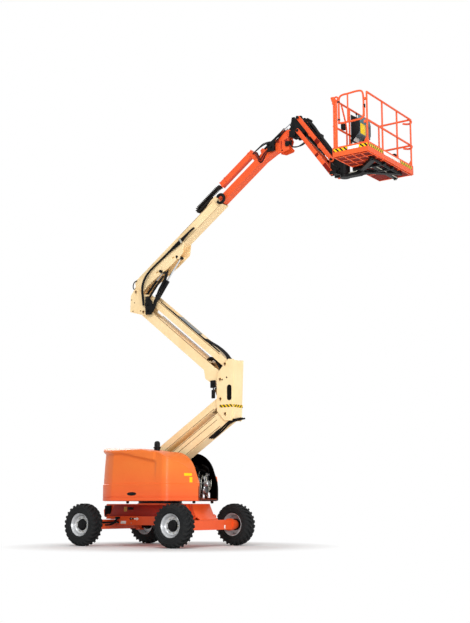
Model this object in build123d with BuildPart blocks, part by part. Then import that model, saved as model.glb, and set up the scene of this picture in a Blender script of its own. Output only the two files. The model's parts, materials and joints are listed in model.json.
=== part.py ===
"""Articulating boom lift: four-wheel chassis, slewing turntable, two-stage
tower, telescopic main boom, parallel jib and work platform.

Frame: origin on the ground under the slew centre, +X towards the platform,
+Z up. The near side is -Y. In-plane points are (x, z) pairs.
"""
import math
import os

from build123d import *

# ---- driving dimensions, millimetres ----------------------------------
wheelbase = 2300
track = 2030
tyre_radius = 420
tyre_width = 310
rim_radius = 228
gap = 0.3                 # running gap of a pin, rod or slide
side_gap = 6              # between plates that pass each other

frame_top = 830
frame_bottom = 530
frame_half_width = 400
rail_depth = 53           # lower rail of the chassis, under the recessed box
skirt_depth = 118         # side skirts below the lower rail
slew_height = 55
deck_thickness = 40
tail_radius = 1110
hood_half_width = 1100
slot_half_width = 305
hood_height = 1070
hood_wall = 18

tower_pin_radius = 30
plate_inner = 150         # uprights: inner face of a side plate
plate_wall = 22
arm_half_width = 143
arm_wall = 8
lower_arm_length = 2600
lower_arm_angle = 32.5
lower_arm_depth = 268
upper_arm_length = 2517
upper_arm_angle = 142.0
upper_arm_depth = 190
link_depth = 150
link_rise = 298           # link pin above its arm pin
link_shift = 115          # and to the side
upright_spread = 685      # upper arm pin above the lower arm pin
upright_lean = -124

boom_angle = 35.5
boom_low = 30             # underside of the boom box above its pivot line
boom_depth = 210
boom_half_width = 118
boom_wall = 8
boom_length = 2700
cheek_wall = 14
fly_low = 55
fly_depth = 150
fly_half_width = 92
fly_tail = 1350
fly_nose = 4000

jib_length = 1240
jib_angle = -53.3
jib_rise = 270
jib_bar_depth = 84
jib_bar_wall = 25

rotator_reach = 213       # rotator axis beyond the jib's low end pin
platform_depth = 730
platform_width = 1830
platform_reach = 255      # platform edge beyond the rotator axis
floor_rise = 19           # underside of the floor above the jib's low end pin
floor_thickness = 30
rail_height = 1100
rail_radius = 19
post_spacing = 600

half_base = wheelbase / 2
half_track = track / 2
slew_top = frame_top + slew_height
deck_top = slew_top + deck_thickness
hood_bottom = slew_top + 5
hood_top = hood_bottom + hood_height


def step(start, angle, length):
    """The point a length away from start, at an angle from +X."""
    turn = math.radians(angle)
    return (start[0] + length * math.cos(turn), start[1] + length * math.sin(turn))


def shift(point, dx, dz):
    return (point[0] + dx, point[1] + dz)


def between(start, end, along, across=0.0):
    """A point at a distance along and across the line from start to end."""
    angle = math.degrees(math.atan2(end[1] - start[1], end[0] - start[0]))
    return step(step(start, angle, along), angle + 90, across)


def distance(start, end):
    return math.hypot(end[0] - start[0], end[1] - start[1])


def outline(points, y):
    """A closed face through in-plane points, lying at one y."""
    with BuildSketch(Plane.XZ.offset(-y)) as face:
        with BuildLine():
            Polyline(*points, close=True)
        make_face()
    return face.sketch


def slab(points, low, high, mode=Mode.ADD):
    """A plate of this outline from y = low to y = high."""
    extrude(outline(points, high), amount=high - low, mode=mode)


def twin_slab(points, inner, outer):
    """A pair of plates, one on each side of the centre plane."""
    slab(points, inner, outer)
    slab(points, -outer, -inner)


def cross_pin(point, radius, low, high, mode=Mode.ADD):
    """A round bar along Y."""
    with Locations((point[0], (low + high) / 2, point[1])):
        Cylinder(radius, high - low, rotation=(90, 0, 0), mode=mode)


def twin_pin(point, radius, inner, outer, mode=Mode.ADD):
    cross_pin(point, radius, inner, outer, mode)
    cross_pin(point, radius, -outer, -inner, mode)


def strip(start, end, along, across):
    """Corners of a strip on the line from start to end."""
    return [between(start, end, along[0], across[0]),
            between(start, end, along[1], across[0]),
            between(start, end, along[1], across[1]),
            between(start, end, along[0], across[1])]


def tilted(point, y, direction, lift=0.0):
    """A plane square to an in-plane direction, for tubes along it."""
    turn = math.radians(direction)
    normal = (math.cos(turn), 0, math.sin(turn))
    return Plane(origin=(point[0], y, point[1]), x_dir=(0, 1, 0),
                 z_dir=normal).offset(lift)


def save(piece, label):
    piece.part.label = label
    export_step(piece.part, f"parts/{label}.step")


os.makedirs("parts", exist_ok=True)

# ---- pins of the two-stage tower ---------------------------------------
arm_foot = (-449, deck_top + 244)                        # lower arm on the turntable
arm_knee = step(arm_foot, lower_arm_angle, lower_arm_length)
link_foot = shift(arm_foot, -link_shift, link_rise)
link_knee = shift(arm_knee, -link_shift, link_rise)
upper_knee = shift(arm_knee, upright_lean, upright_spread)
upper_link_knee = shift(upper_knee, link_shift, link_rise)
arm_head = step(upper_knee, upper_arm_angle, upper_arm_length)
link_head = shift(arm_head, link_shift, link_rise)
boom_pivot = shift(arm_head, -215, 450)


def on_boom(along, across):
    """A point measured along and square to the main boom from its pivot."""
    return step(step(boom_pivot, boom_angle, along), boom_angle + 90, across)


# ---- pins of the boom head, jib and platform ----------------------------
fly_tip = fly_nose + 693      # pivot of the jib bracket, along the boom
lift_eye = on_boom(1220, -92)
level_foot = shift(arm_head, -65, 305)
level_eye = on_boom(741, -80)
slave_foot = on_boom(fly_nose + 30, 282)
bracket_pivot = on_boom(fly_tip, 79)
slave_eye = shift(bracket_pivot, 80, 280)
jib_top = shift(bracket_pivot, 250, 245)
jib_low = shift(jib_top, 0, -jib_rise)
jib_top_end = step(jib_top, jib_angle, jib_length)
jib_low_end = step(jib_low, jib_angle, jib_length)
jib_ram_foot = shift(jib_low, 0, 60)
jib_ram_eye = shift(jib_top_end, 0, -60)
rotator_x = jib_low_end[0] + rotator_reach
floor_z = jib_low_end[1] + floor_rise
near_x = rotator_x + platform_reach
tower_ram_foot = shift(arm_knee, -144, 74)
tower_ram_eye = between(upper_knee, arm_head, 288, 139)

# ---- wheels --------------------------------------------------------------
rim_width = tyre_width - 50


def tyre_profile():
    """Half section of the tyre from bead to crown, drawn about the Z axis."""
    half = tyre_width / 2
    with BuildSketch(Plane.XZ) as section:
        with BuildLine():
            Polyline((rim_radius + gap, -rim_width / 2 + 8),
                     (rim_radius + 40, -half + 14),
                     (tyre_radius - 120, -half),
                     (tyre_radius - 55, -half + 6),
                     (tyre_radius - 18, -half + 26),
                     (tyre_radius, -half + 62),
                     (tyre_radius, half - 62),
                     (tyre_radius - 18, half - 26),
                     (tyre_radius - 55, half - 6),
                     (tyre_radius - 120, half),
                     (rim_radius + 40, half - 14),
                     (rim_radius + gap, rim_width / 2 - 8),
                     close=True)
        make_face()
    return section.sketch


def rim_profile():
    """Half section of the rim: lips, well, disc and hub, about the Z axis.
    The outer face of the wheel is towards +Z."""
    half = rim_width / 2
    well = rim_radius - 34
    with BuildSketch(Plane.XZ) as section:
        with BuildLine():
            Polyline((rim_radius, -half + 10), (rim_radius, -half + 30),
                     (well, -half + 60), (well, half - 60),
                     (rim_radius, half - 30), (rim_radius, half - 10),
                     (rim_radius - 8, half - 4), (rim_radius - 16, half - 16),
                     (well - 12, half - 66), (well - 12, 40),
                     (150, 20), (100, 20), (100, 78), (60, 92), (0.0, 92),
                     (0.0, -20), (150, -20), (well - 12, -8),
                     (well - 12, -half + 66), (rim_radius - 16, -half + 16),
                     (rim_radius - 8, -half + 4),
                     close=True)
        make_face()
    return section.sketch


# name, axle x, side (-1 near, +1 far)
wheels = [("steer_near", -half_base, -1), ("steer_far", -half_base, 1),
          ("drive_near", half_base, -1), ("drive_far", half_base, 1)]
for wheel_name, axle_x, side in wheels:
    hub_plane = Plane(origin=(axle_x, side * half_track, tyre_radius),
                      x_dir=(1, 0, 0), z_dir=(0, side, 0))
    with BuildPart() as tyre:
        revolve(tyre_profile(), axis=Axis.Z)
    tyre.part.locate(hub_plane.location)
    save(tyre, f"tyre_{wheel_name}")
    with BuildPart() as rim:
        revolve(rim_profile(), axis=Axis.Z)
    rim.part.locate(hub_plane.location)
    save(rim, f"rim_{wheel_name}")

# ---- chassis ---------------------------------------------------------------
axle_beam_depth = 190
axle_beam_width = 170
kingpin_y = half_track - 215
kingpin_radius = 26
knuckle_low = tyre_radius - 95
knuckle_high = tyre_radius + 95
steer_arm = 180
tie_rod_radius = 20
slew_radius = 440
frame_end = half_base - 50
rail_top_z = frame_bottom + rail_depth
box_end = frame_end - 60
lug_x = frame_end + 20                 # tie-down eye centres
lug_y = frame_half_width - 70
lug_z = frame_bottom + 55
nose_half_width = lug_y - 30            # end boxes between the tie-down eyes
skirt_back = -half_base + 410
skirt_front = half_base - axle_beam_width / 2 - 10
lug_bore = 18

with BuildPart() as chassis_frame:
    # lower rail, full width, with sloping ends
    slab([(-frame_end, frame_bottom), (frame_end, frame_bottom),
          (frame_end - 40, rail_top_z), (-frame_end + 40, rail_top_z)],
         -frame_half_width, frame_half_width)
    # recessed upper box
    slab([(-box_end, rail_top_z), (box_end, rail_top_z),
          (box_end - 120, frame_top), (-box_end + 120, frame_top)],
         -frame_half_width + 45, frame_half_width - 45)
    # narrower end boxes over the axles
    slab([(box_end - 130, rail_top_z), (box_end + 90, rail_top_z), (box_end - 20, frame_top),
          (box_end - 130, frame_top)], -nose_half_width, nose_half_width)
    slab([(-box_end + 130, rail_top_z), (-box_end - 195, rail_top_z),
          (-box_end - 210, rail_top_z + 120), (-box_end - 130, frame_top),
          (-box_end + 130, frame_top)], -nose_half_width, nose_half_width)
    # side skirts, from behind the steering gear to the fixed axle
    twin_slab([(skirt_back, frame_bottom - skirt_depth), (skirt_front, frame_bottom - skirt_depth),
               (skirt_front, frame_bottom + 10), (skirt_back, frame_bottom + 10)],
              frame_half_width - 60, frame_half_width)
    # bracket on the fixed axle, and pads and pivot plate at the steering axle
    with Locations((half_base - 150, 0, frame_bottom)):
        Box(120, 420, 55.7, align=(Align.CENTER, Align.CENTER, Align.MAX))
    for end in (-1, 1):
        with Locations((end * (frame_end + 10), 0, frame_bottom + 20)):
            Box(60, 420, 60)
    with Locations((-half_base + 68, 0, frame_bottom - 7.2)):
        Box(36, 200, 15)
    with Locations((-half_base + 94, 0, frame_bottom - 60)):
        Box(14, 200, 140)
    # seat of the slewing ring
    with Locations((0, 0, frame_top)):
        Cylinder(slew_radius + 20, 12, align=(Align.CENTER, Align.CENTER, Align.MIN))
    # tie-down lugs at the four corners
    for end in (-1, 1):
        lug = [(end * (lug_x - 95), lug_z - 40), (end * lug_x, lug_z - 40),
               (end * (lug_x + 35), lug_z - 15), (end * (lug_x + 35), lug_z + 15),
               (end * lug_x, lug_z + 40), (end * (lug_x - 95), lug_z + 40)]
        twin_slab(lug, lug_y - 12, lug_y + 12)
        twin_pin((end * lug_x, lug_z), lug_bore, lug_y - 20, lug_y + 20, mode=Mode.SUBTRACT)
save(chassis_frame, "chassis_frame")

with BuildPart() as slew_ring:
    with Locations((0, 0, frame_top + 12)):
        Cylinder(slew_radius, slew_top - frame_top - 12.5,
                 align=(Align.CENTER, Align.CENTER, Align.MIN))
        Cylinder(slew_radius - 130, slew_top, mode=Mode.SUBTRACT,
                 align=(Align.CENTER, Align.CENTER, Align.MIN))
save(slew_ring, "slew_ring")

# fixed axle: a box beam with a drive motor housing at each end
hub_inner_y = half_track - 20
with BuildPart() as drive_axle:
    with Locations((half_base, 0, tyre_radius)):
        Box(axle_beam_width, 2 * (kingpin_y - 20), axle_beam_depth)
    with Locations((half_base - 90, 0, tyre_radius + 30)):
        Box(150, 520, 48)
    twin_pin((half_base, tyre_radius), 120, kingpin_y - 20, kingpin_y + 70)
    twin_pin((half_base, tyre_radius), 92, kingpin_y + 70, hub_inner_y - gap)
save(drive_axle, "drive_axle")

# steering axle: a box beam with a fork and kingpin at each end
with BuildPart() as steer_axle:
    with Locations((-half_base, 0, tyre_radius)):
        Box(axle_beam_width, 2 * (kingpin_y - 90), axle_beam_depth)
    for side in (-1, 1):
        for fork_z in (knuckle_low - 12 - side_gap, knuckle_high + 12 + side_gap):
            with Locations((-half_base, side * (kingpin_y - 50), fork_z)):
                Box(110, 140, 24)
            with Locations((-half_base, side * kingpin_y, fork_z)):
                Cylinder(58, 24)
        with Locations((-half_base, side * (kingpin_y - 105), tyre_radius)):
            Box(110, 30, knuckle_high - knuckle_low + 60)
        with Locations((-half_base, side * kingpin_y, tyre_radius)):
            Cylinder(kingpin_radius, knuckle_high - knuckle_low + 50)
save(steer_axle, "steer_axle")

for side, side_name in ((-1, "near"), (1, "far")):
    with BuildPart() as knuckle:
        with Locations((-half_base, side * kingpin_y, tyre_radius)):
            Cylinder(54, knuckle_high - knuckle_low)
            Cylinder(kingpin_radius + gap, 400, mode=Mode.SUBTRACT)
        low, high = sorted((side * (kingpin_y + 40), side * (hub_inner_y - gap)))
        cross_pin((-half_base, tyre_radius), 88, low, high)
        with Locations((-half_base + steer_arm / 2 + 20, side * kingpin_y, tyre_radius)):
            Box(steer_arm - 40, 44, 36)
        with Locations((-half_base + steer_arm, side * kingpin_y, tyre_radius)):
            Cylinder(30, 36)
        with Locations((-half_base, side * kingpin_y, tyre_radius)):
            Cylinder(kingpin_radius + gap, 400, mode=Mode.SUBTRACT)
    save(knuckle, f"knuckle_{side_name}")

# tie rod lying just above the two steering arms
tie_rod_z = tyre_radius + 18 + 0.8 + tie_rod_radius
with BuildPart() as tie_rod:
    cross_pin((-half_base + steer_arm, tie_rod_z), tie_rod_radius, -kingpin_y, kingpin_y)
    with Locations((-half_base + steer_arm, -kingpin_y, tie_rod_z),
                   (-half_base + steer_arm, kingpin_y, tie_rod_z)):
        Cylinder(28, 2 * tie_rod_radius - 5)
save(tie_rod, "tie_rod")

# ---- turntable ----------------------------------------------------------------
front_x = half_base + 65  # hood edge beside the boom slot
side_front_x = front_x - 255   # where the flat hood side ends
far_sweep = 0.75  # the far hood's front goes back this much for each unit outwards
riser_top = link_foot[1] + 92


def tail_x(y, radius):
    return -math.sqrt(radius ** 2 - y ** 2)


def hood_plan(side, inset, z):
    """Plan of one hood: tail arc, flat side and slanting front."""
    radius = tail_radius - inset
    out_y = hood_half_width - inset
    in_y = slot_half_width
    flat_start = tail_x(out_y, radius + 46)
    front = front_x - inset
    side_front = side_front_x - inset
    if side > 0:
        side_front = front - far_sweep * (hood_half_width - 50 - in_y) - 45
    mid = math.radians(152)
    with BuildSketch(Plane.XY.offset(z)) as plan:
        with BuildLine():
            ThreePointArc((tail_x(in_y, radius), side * in_y),
                          (radius * math.cos(mid) * 1.02, side * radius * math.sin(mid) * 1.06),
                          (flat_start, side * out_y))
            Polyline((flat_start, side * out_y), (side_front, side * out_y),
                     (side_front + 45, side * (out_y - 50)),
                     (front, side * in_y), (tail_x(in_y, radius), side * in_y))
        make_face()
    return plan.sketch


def hood_side(inset, y):
    """Side profile of a hood: level tail, falling ridge and rounded front."""
    top = hood_top - inset
    with BuildSketch(Plane.XZ.offset(-y)) as profile:
        with BuildLine():
            Polyline((front_x + 60 - inset, frame_top), (-tail_radius - 190, frame_top),
                     (-tail_radius - 190, top - 95), (-tail_radius + 50 + inset, top - 4),
                     (front_x - 1015, top - 55), (front_x - 615, top - 115))
            ThreePointArc((front_x - 615, top - 115), (front_x - 255 - inset, top - 235),
                          (front_x - 90 - inset, top - 490))
            Polyline((front_x - 90 - inset, top - 490), (front_x - 10 - inset, top - 690),
                     (front_x + 60 - inset, top - 800), (front_x + 60 - inset, frame_top))
        make_face()
    return profile.sketch


hood_seat = 0.5
stack_x, stack_y, stack_radius = 385, 600, 72
stack_low, stack_rise, cap_height = hood_top - 170, 215, 55


def hood_body(side, inset, bottom):
    """One hood as a solid, drawn in from its outer skin by the inset."""
    extrude(hood_plan(side, inset, bottom), amount=hood_top)
    if side < 0:
        extrude(hood_side(inset, 0), amount=1400, mode=Mode.INTERSECT)
    else:
        extrude(hood_side(inset, slot_half_width), amount=1400, dir=(-far_sweep, 1, 0),
                mode=Mode.INTERSECT)
    # the top falls away towards the side
    top = hood_top - inset
    edge_y = side * (hood_half_width + 10)
    ridge_y = side * (hood_half_width - 540)
    with BuildSketch(Plane.YZ.offset(-1400)) as falling:
        with BuildLine():
            Polyline((ridge_y, top + 80), (ridge_y, top + 20), (edge_y, top - 85),
                     (edge_y, top + 80), close=True)
        make_face()
    extrude(falling.sketch, amount=2800, mode=Mode.SUBTRACT)


for side, side_name in ((-1, "near"), (1, "far")):
    with BuildPart() as hood_core:
        hood_body(side, hood_wall, hood_bottom - 10)
    with BuildPart() as hood:
        hood_body(side, 0, hood_bottom)
        add(hood_core.part, mode=Mode.SUBTRACT)
        if side < 0:
            with Locations((stack_x, -stack_y, hood_top)):
                Cylinder(stack_radius + gap, 600, mode=Mode.SUBTRACT)
    save(hood, f"hood_{side_name}")

# capped stack standing in the near hood
with BuildPart() as vent_stack:
    with Locations((stack_x, -stack_y, stack_low)):
        Cylinder(stack_radius, stack_rise + 5, align=(Align.CENTER, Align.CENTER, Align.MIN))
    with Locations((stack_x, -stack_y, stack_low + stack_rise)):
        Cylinder(stack_radius + 14, cap_height, align=(Align.CENTER, Align.CENTER, Align.MIN))
save(vent_stack, "vent_stack")

with BuildPart() as turntable_frame:
    # deck plate that fits inside both hoods
    for side in (-1, 1):
        extrude(hood_plan(side, hood_wall + hood_seat, slew_top), amount=deck_top - slew_top)
    deck_back, deck_front = -tail_radius + 80, front_x - 85
    slab([(deck_back, slew_top), (deck_front, slew_top), (deck_front, deck_top),
          (deck_back, deck_top)], -slot_half_width - 1, slot_half_width + 1)
    foot_x, foot_z = arm_foot
    riser_back = foot_x - 411
    twin_slab([(riser_back, deck_top), (foot_x + 409, deck_top), (foot_x + 199, foot_z - 39),
               (foot_x + 119, foot_z + 111), (foot_x - 6, riser_top), (foot_x - 231, riser_top),
               (riser_back, foot_z + 81)], plate_inner, plate_inner + plate_wall)
    slab([(riser_back, deck_top), (riser_back + 100, deck_top), (riser_back + 100, foot_z + 81),
          (riser_back, foot_z + 81)], -plate_inner, plate_inner)
    for pivot in (arm_foot, link_foot):
        cross_pin(pivot, tower_pin_radius, -plate_inner - plate_wall - 14,
                  plate_inner + plate_wall + 14)
        twin_pin(pivot, 58, plate_inner + plate_wall, plate_inner + plate_wall + 10)
save(turntable_frame, "turntable_frame")

weight_y = slot_half_width - 25
weight_front = -tail_radius + 230
with BuildPart() as counterweight:
    with BuildSketch(Plane.XY.offset(deck_top + gap)):
        with BuildLine():
            ThreePointArc((tail_x(weight_y, tail_radius), -weight_y), (-tail_radius, 0),
                          (tail_x(weight_y, tail_radius), weight_y))
            Polyline((tail_x(weight_y, tail_radius), weight_y), (weight_front, weight_y),
                     (weight_front, -weight_y), (tail_x(weight_y, tail_radius), -weight_y))
        make_face()
    extrude(amount=760)
save(counterweight, "counterweight")

with BuildPart() as engine:
    with Locations((front_x - 1015, hood_half_width - 440, deck_top + gap)):
        Box(820, 480, 560, align=(Align.CENTER, Align.CENTER, Align.MIN))
save(engine, "engine")

with BuildPart() as fluid_tank:
    with Locations((250, -hood_half_width + 440, deck_top + gap)):
        Box(900, 460, 560, align=(Align.CENTER, Align.CENTER, Align.MIN))
save(fluid_tank, "fluid_tank")

# ---- tower: lower arm and link, upright, upper arm and link, upright ------------
fork_inner = 100          # inner face of an arm's ears
fork_length = 470


def arm(low_pin, high_pin, depth, end_radius, hollow):
    """A box arm between two pins, round at its ends and hollow over a stretch."""
    slab(strip(low_pin, high_pin, (0, distance(low_pin, high_pin)), (-depth / 2, depth / 2)),
         -arm_half_width, arm_half_width)
    for point in (low_pin, high_pin):
        cross_pin(point, end_radius, -arm_half_width, arm_half_width)
    inner = depth / 2 - arm_wall
    slab(strip(low_pin, high_pin, hollow, (-inner, inner)),
         -arm_half_width + arm_wall, arm_half_width - arm_wall, mode=Mode.SUBTRACT)


def fork(pin_point, far_pin, length, inner, reach=160):
    """Opens the middle of an arm at one end."""
    slab(strip(pin_point, far_pin, (-reach, length), (-260, 260)), -inner, inner,
         mode=Mode.SUBTRACT)


def bore(point, radius, half=400):
    cross_pin(point, radius, -half, half, mode=Mode.SUBTRACT)


with BuildPart() as lower_arm:
    arm(arm_foot, arm_knee, lower_arm_depth, 116, (190, lower_arm_length - fork_length + 5))
    fork(arm_knee, arm_foot, fork_length, fork_inner)
    bore(arm_foot, tower_pin_radius + gap)
    bore(arm_knee, tower_pin_radius + gap)
save(lower_arm, "lower_arm")

with BuildPart() as lower_link:
    arm(link_foot, link_knee, link_depth, 62, (120, lower_arm_length - 375))
    fork(link_knee, link_foot, 380, 72)
    bore(link_foot, tower_pin_radius + gap)
    bore(link_knee, tower_pin_radius + gap)
save(lower_link, "lower_link")

with BuildPart() as mid_upright:
    base_x, base_z = arm_knee
    high_x, high_z = upper_link_knee
    side_outline = [(base_x - 28, base_z - 130), (base_x + 146, base_z - 137),
                    (high_x + 199, high_z + 82), (high_x + 70, high_z + 93),
                    (high_x - 162, high_z - 140), (high_x - 205, high_z - 292),
                    (base_x - 217, base_z + 256), (base_x - 205, base_z + 60),
                    (base_x - 150, base_z - 10)]
    twin_slab(side_outline, plate_inner, plate_inner + plate_wall)
    slab([(base_x + 150, base_z - 100), (base_x + 168, base_z - 100),
          (high_x + 197, high_z + 67), (high_x + 179, high_z + 67)],
         -plate_inner, plate_inner)
    for pivot in (arm_knee, link_knee, upper_knee, upper_link_knee):
        cross_pin(pivot, tower_pin_radius, -plate_inner - plate_wall - 12,
                  plate_inner + plate_wall + 12)
    # lugs that reach back from the front plate to the tower cylinder's foot
    lug = [(-194, 60), (-186, 100), (-150, 124), (-60, 112), (156, 112), (156, -60),
           (0, -44), (-120, 22), (-170, 26)]
    twin_slab([shift(arm_knee, dx, dz) for dx, dz in lug], 51.5, 63)
    cross_pin(tower_ram_foot, 24, -63, 63)
    # the tall slot in each side plate
    slot_x, slot_z = base_x + 80, base_z + 410
    for low in (-plate_inner - plate_wall - 1, plate_inner - 1):
        slab([(slot_x - 24, slot_z - 150), (slot_x + 24, slot_z - 150),
              (slot_x + 24, slot_z + 150), (slot_x - 24, slot_z + 150)],
             low, low + plate_wall + 2, mode=Mode.SUBTRACT)
save(mid_upright, "mid_upright")

head_slot = 350           # room for the lift cylinder with the tower folded
link_slot = 860
with BuildPart() as upper_arm:
    arm(upper_knee, arm_head, upper_arm_depth, 88,
        (fork_length - 5, upper_arm_length - head_slot + 5))
    # belly that carries the tower cylinder's rod eye
    slab([between(upper_knee, arm_head, 40, 60), between(upper_knee, arm_head, 150, 200),
          between(upper_knee, arm_head, 330, 215), between(upper_knee, arm_head, 480, 90),
          between(upper_knee, arm_head, 480, 0), between(upper_knee, arm_head, 40, 0)],
         -arm_half_width, arm_half_width)
    fork(upper_knee, arm_head, fork_length, fork_inner)
    fork(arm_head, upper_knee, head_slot, 70)
    bore(upper_knee, tower_pin_radius + gap)
    bore(arm_head, tower_pin_radius + gap)
save(upper_arm, "upper_arm")

stub_radius = 22
ear_inner = 118
with BuildPart() as upper_link:
    arm(upper_link_knee, link_head, link_depth, 56, (120, upper_arm_length - link_slot + 5))
    fork(link_head, upper_link_knee, link_slot, ear_inner)
    bore(upper_link_knee, tower_pin_radius + gap)
    bore(link_head, stub_radius + gap)
save(upper_link, "upper_link")

with BuildPart() as upper_upright:
    top_x, top_z = arm_head
    head_outline = [(top_x - 375, top_z + 30), (top_x + 60, top_z - 92),
                    (top_x + 176, top_z + 262), (top_x + 160, top_z + 340),
                    (top_x + 60, top_z + 362), (top_x - 40, top_z + 370),
                    (top_x - 150, top_z + 505), (top_x - 262, top_z + 510),
                    (top_x - 363, top_z + 380)]
    twin_slab(head_outline, plate_inner, plate_inner + plate_wall)
    # back plate between the sides
    slab([(top_x - 372, top_z + 60), (top_x - 352, top_z + 60),
          (top_x - 350, top_z + 330), (top_x - 368, top_z + 330)],
         -plate_inner, plate_inner)
    for pivot in (arm_head, boom_pivot):
        cross_pin(pivot, tower_pin_radius, -plate_inner - plate_wall - 12,
                  plate_inner + plate_wall + 12)
    twin_pin(link_head, stub_radius, ear_inner, plate_inner + plate_wall + 12)
    # stub that carries the level cylinder
    cross_pin(level_foot, 14, -plate_inner - plate_wall, -60)
save(upper_upright, "upper_upright")

# ---- main boom --------------------------------------------------------------------
boom_high = boom_low + boom_depth
fly_high = fly_low + fly_depth


def boom_points(*pairs):
    return [on_boom(along, across) for along, across in pairs]


with BuildPart() as boom_base:
    slab(boom_points((40, boom_low), (boom_length, boom_low),
                     (boom_length, boom_high), (100, boom_high), (40, boom_high - 40)),
         -boom_half_width, boom_half_width)
    slab(boom_points((90, boom_low + boom_wall), (boom_length + 20, boom_low + boom_wall),
                     (boom_length + 20, boom_high - boom_wall), (90, boom_high - boom_wall)),
         -boom_half_width + boom_wall, boom_half_width - boom_wall, mode=Mode.SUBTRACT)
    # side plates that reach down to the pivot and to the cylinder eyes
    twin_slab(boom_points((-88, 20), (-60, 90), (60, 150), (1500, 110), (1530, 40),
                          (1370, -135), (1000, -135), (430, -80), (240, -80), (160, -98),
                           (0, -88), (-70, -55)),
              boom_half_width, boom_half_width + cheek_wall)
    twin_pin(boom_pivot, 60, 66, boom_half_width)
    bore(boom_pivot, tower_pin_radius + gap)
    # eyes for the two cylinders, standing off the side plates
    twin_pin(lift_eye, 40, 62, boom_half_width)
    cross_pin(level_eye, 26, -boom_half_width, -107)
    # wear pads that carry the fly section
    for along in (boom_length - 120, boom_length - 20):
        slab(boom_points((along, boom_low + boom_wall), (along + 60 - 40, boom_low + boom_wall),
                         (along + 20, fly_low - gap), (along, fly_low - gap)), -60, 60)
        slab(boom_points((along, fly_high + gap), (along + 20, fly_high + gap),
                         (along + 20, boom_high - boom_wall), (along, boom_high - boom_wall)),
             -60, 60)
        twin_slab(boom_points((along, fly_low + 30), (along + 20, fly_low + 30),
                              (along + 20, fly_high - 30), (along, fly_high - 30)),
                  fly_half_width + gap, boom_half_width - boom_wall)
save(boom_base, "boom_base")

# hose tube above the fly section
tube_low, tube_high = 360, 480
tube_start, tube_end = fly_nose - 1110, fly_nose - 160
with BuildPart() as boom_fly:
    slab(boom_points((fly_tail, fly_low), (fly_nose, fly_low), (fly_nose, fly_high),
                     (fly_tail, fly_high)), -fly_half_width, fly_half_width)
    # nose plates down to the bracket pivot
    twin_slab(boom_points((fly_nose - 60, fly_low), (fly_nose + 200, 15), (fly_nose + 360, -30),
                          (fly_nose + 440, -90), (fly_nose + 530, -100), (fly_tip - 103, -10),
                          (fly_tip - 53, 20), (fly_tip + 47, 40), (fly_tip + 57, 110),
                          (fly_tip + 7, 150), (fly_nose + 350, 180), (fly_nose - 60, fly_high)),
              70, fly_half_width)
    slab(boom_points((fly_nose, fly_low - 5), (fly_nose + 360, -10), (fly_nose + 380, 10),
                     (fly_nose, fly_low + 20)), -70, 70)
    slab(boom_points((fly_nose, fly_high - 15), (fly_nose + 300, 165), (fly_nose + 300, 180),
                     (fly_nose, fly_high)), -70, 70)
    # lug for the slave cylinder
    twin_slab(boom_points((fly_nose - 40, fly_high), (fly_nose + 100, fly_high),
                          (fly_nose + 62, 312), (fly_nose - 2, 312)), 24, 40)
    cross_pin(slave_foot, 14, -40, 40)
    # bracket that carries the hose tube
    twin_slab(boom_points((fly_nose - 230, fly_high), (fly_nose - 100, fly_high),
                          (fly_nose - 170, tube_low), (fly_nose - 240, tube_low)), 30, 46)
    cross_pin(bracket_pivot, 26, -fly_half_width - 10, fly_half_width + 10)
save(boom_fly, "boom_fly")

with BuildPart() as hose_tube:
    slab(boom_points((tube_start, tube_low), (tube_end, tube_low), (tube_end, tube_high),
                     (tube_start, tube_high)), -50, 50)
    slab(boom_points((tube_start - 5, tube_low + 5), (tube_end + 5, tube_low + 5),
                     (tube_end + 5, tube_high - 5), (tube_start - 5, tube_high - 5)),
         -45, 45, mode=Mode.SUBTRACT)
save(hose_tube, "hose_tube")

# ---- cylinders -------------------------------------------------------------------
# name, foot pin, rod eye, foot pin radius, barrel radius, rod radius, barrel length,
# rod length inside the barrel, y of the axis, half width of the eyes
rams = [
    ("tower_ram", tower_ram_foot, tower_ram_eye, 24, 50, 30, 500, 265, 0, 50),
    ("lift_ram", arm_head, lift_eye, tower_pin_radius, 52, 28, 800, 380, 0, 52),
    ("level_ram", level_foot, level_eye, 14, 24, 12, 480, 240, -85, 22),
    ("slave_ram", slave_foot, slave_eye, 14, 24, 12, 560, 220, 0, 20),
    ("jib_ram", jib_ram_foot, jib_ram_eye, 16, 38, 20, 800, 380, 0, 38)]
for (ram_name, foot, eye, pin_radius, barrel_radius, rod_radius, barrel_length, inside,
     ram_y, eye_half) in rams:
    direction = math.degrees(math.atan2(eye[1] - foot[1], eye[0] - foot[0]))
    barrel_plane = tilted(foot, ram_y, direction)
    eye_radius = pin_radius + 18
    with BuildPart() as barrel:
        with BuildSketch(barrel_plane):
            Circle(barrel_radius)
        extrude(amount=barrel_length)
        cross_pin(foot, eye_radius, ram_y - eye_half, ram_y + eye_half)
        with BuildSketch(barrel_plane.offset(eye_radius + 20)):
            Circle(rod_radius + gap)
        extrude(amount=barrel_length, mode=Mode.SUBTRACT)
        # clear the foot pin of the tube that was drawn through it
        cross_pin(foot, pin_radius + gap, ram_y - 200, ram_y + 200, mode=Mode.SUBTRACT)
    save(barrel, f"{ram_name}_barrel")
    rod_start = barrel_length - inside
    with BuildPart() as rod:
        with BuildSketch(barrel_plane.offset(rod_start)):
            Circle(rod_radius)
        extrude(amount=distance(foot, eye) - rod_start)
        cross_pin(eye, rod_radius + 12, ram_y - eye_half + 4, ram_y + eye_half - 4)
    save(rod, f"{ram_name}_rod")

# ---- jib ---------------------------------------------------------------------------
top_bar_inner, low_bar_inner = 106, 141
top_bar_outer = top_bar_inner + jib_bar_wall
low_bar_outer = low_bar_inner + jib_bar_wall
jib_pin_radius = 20
cheek_outer = 100

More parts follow.
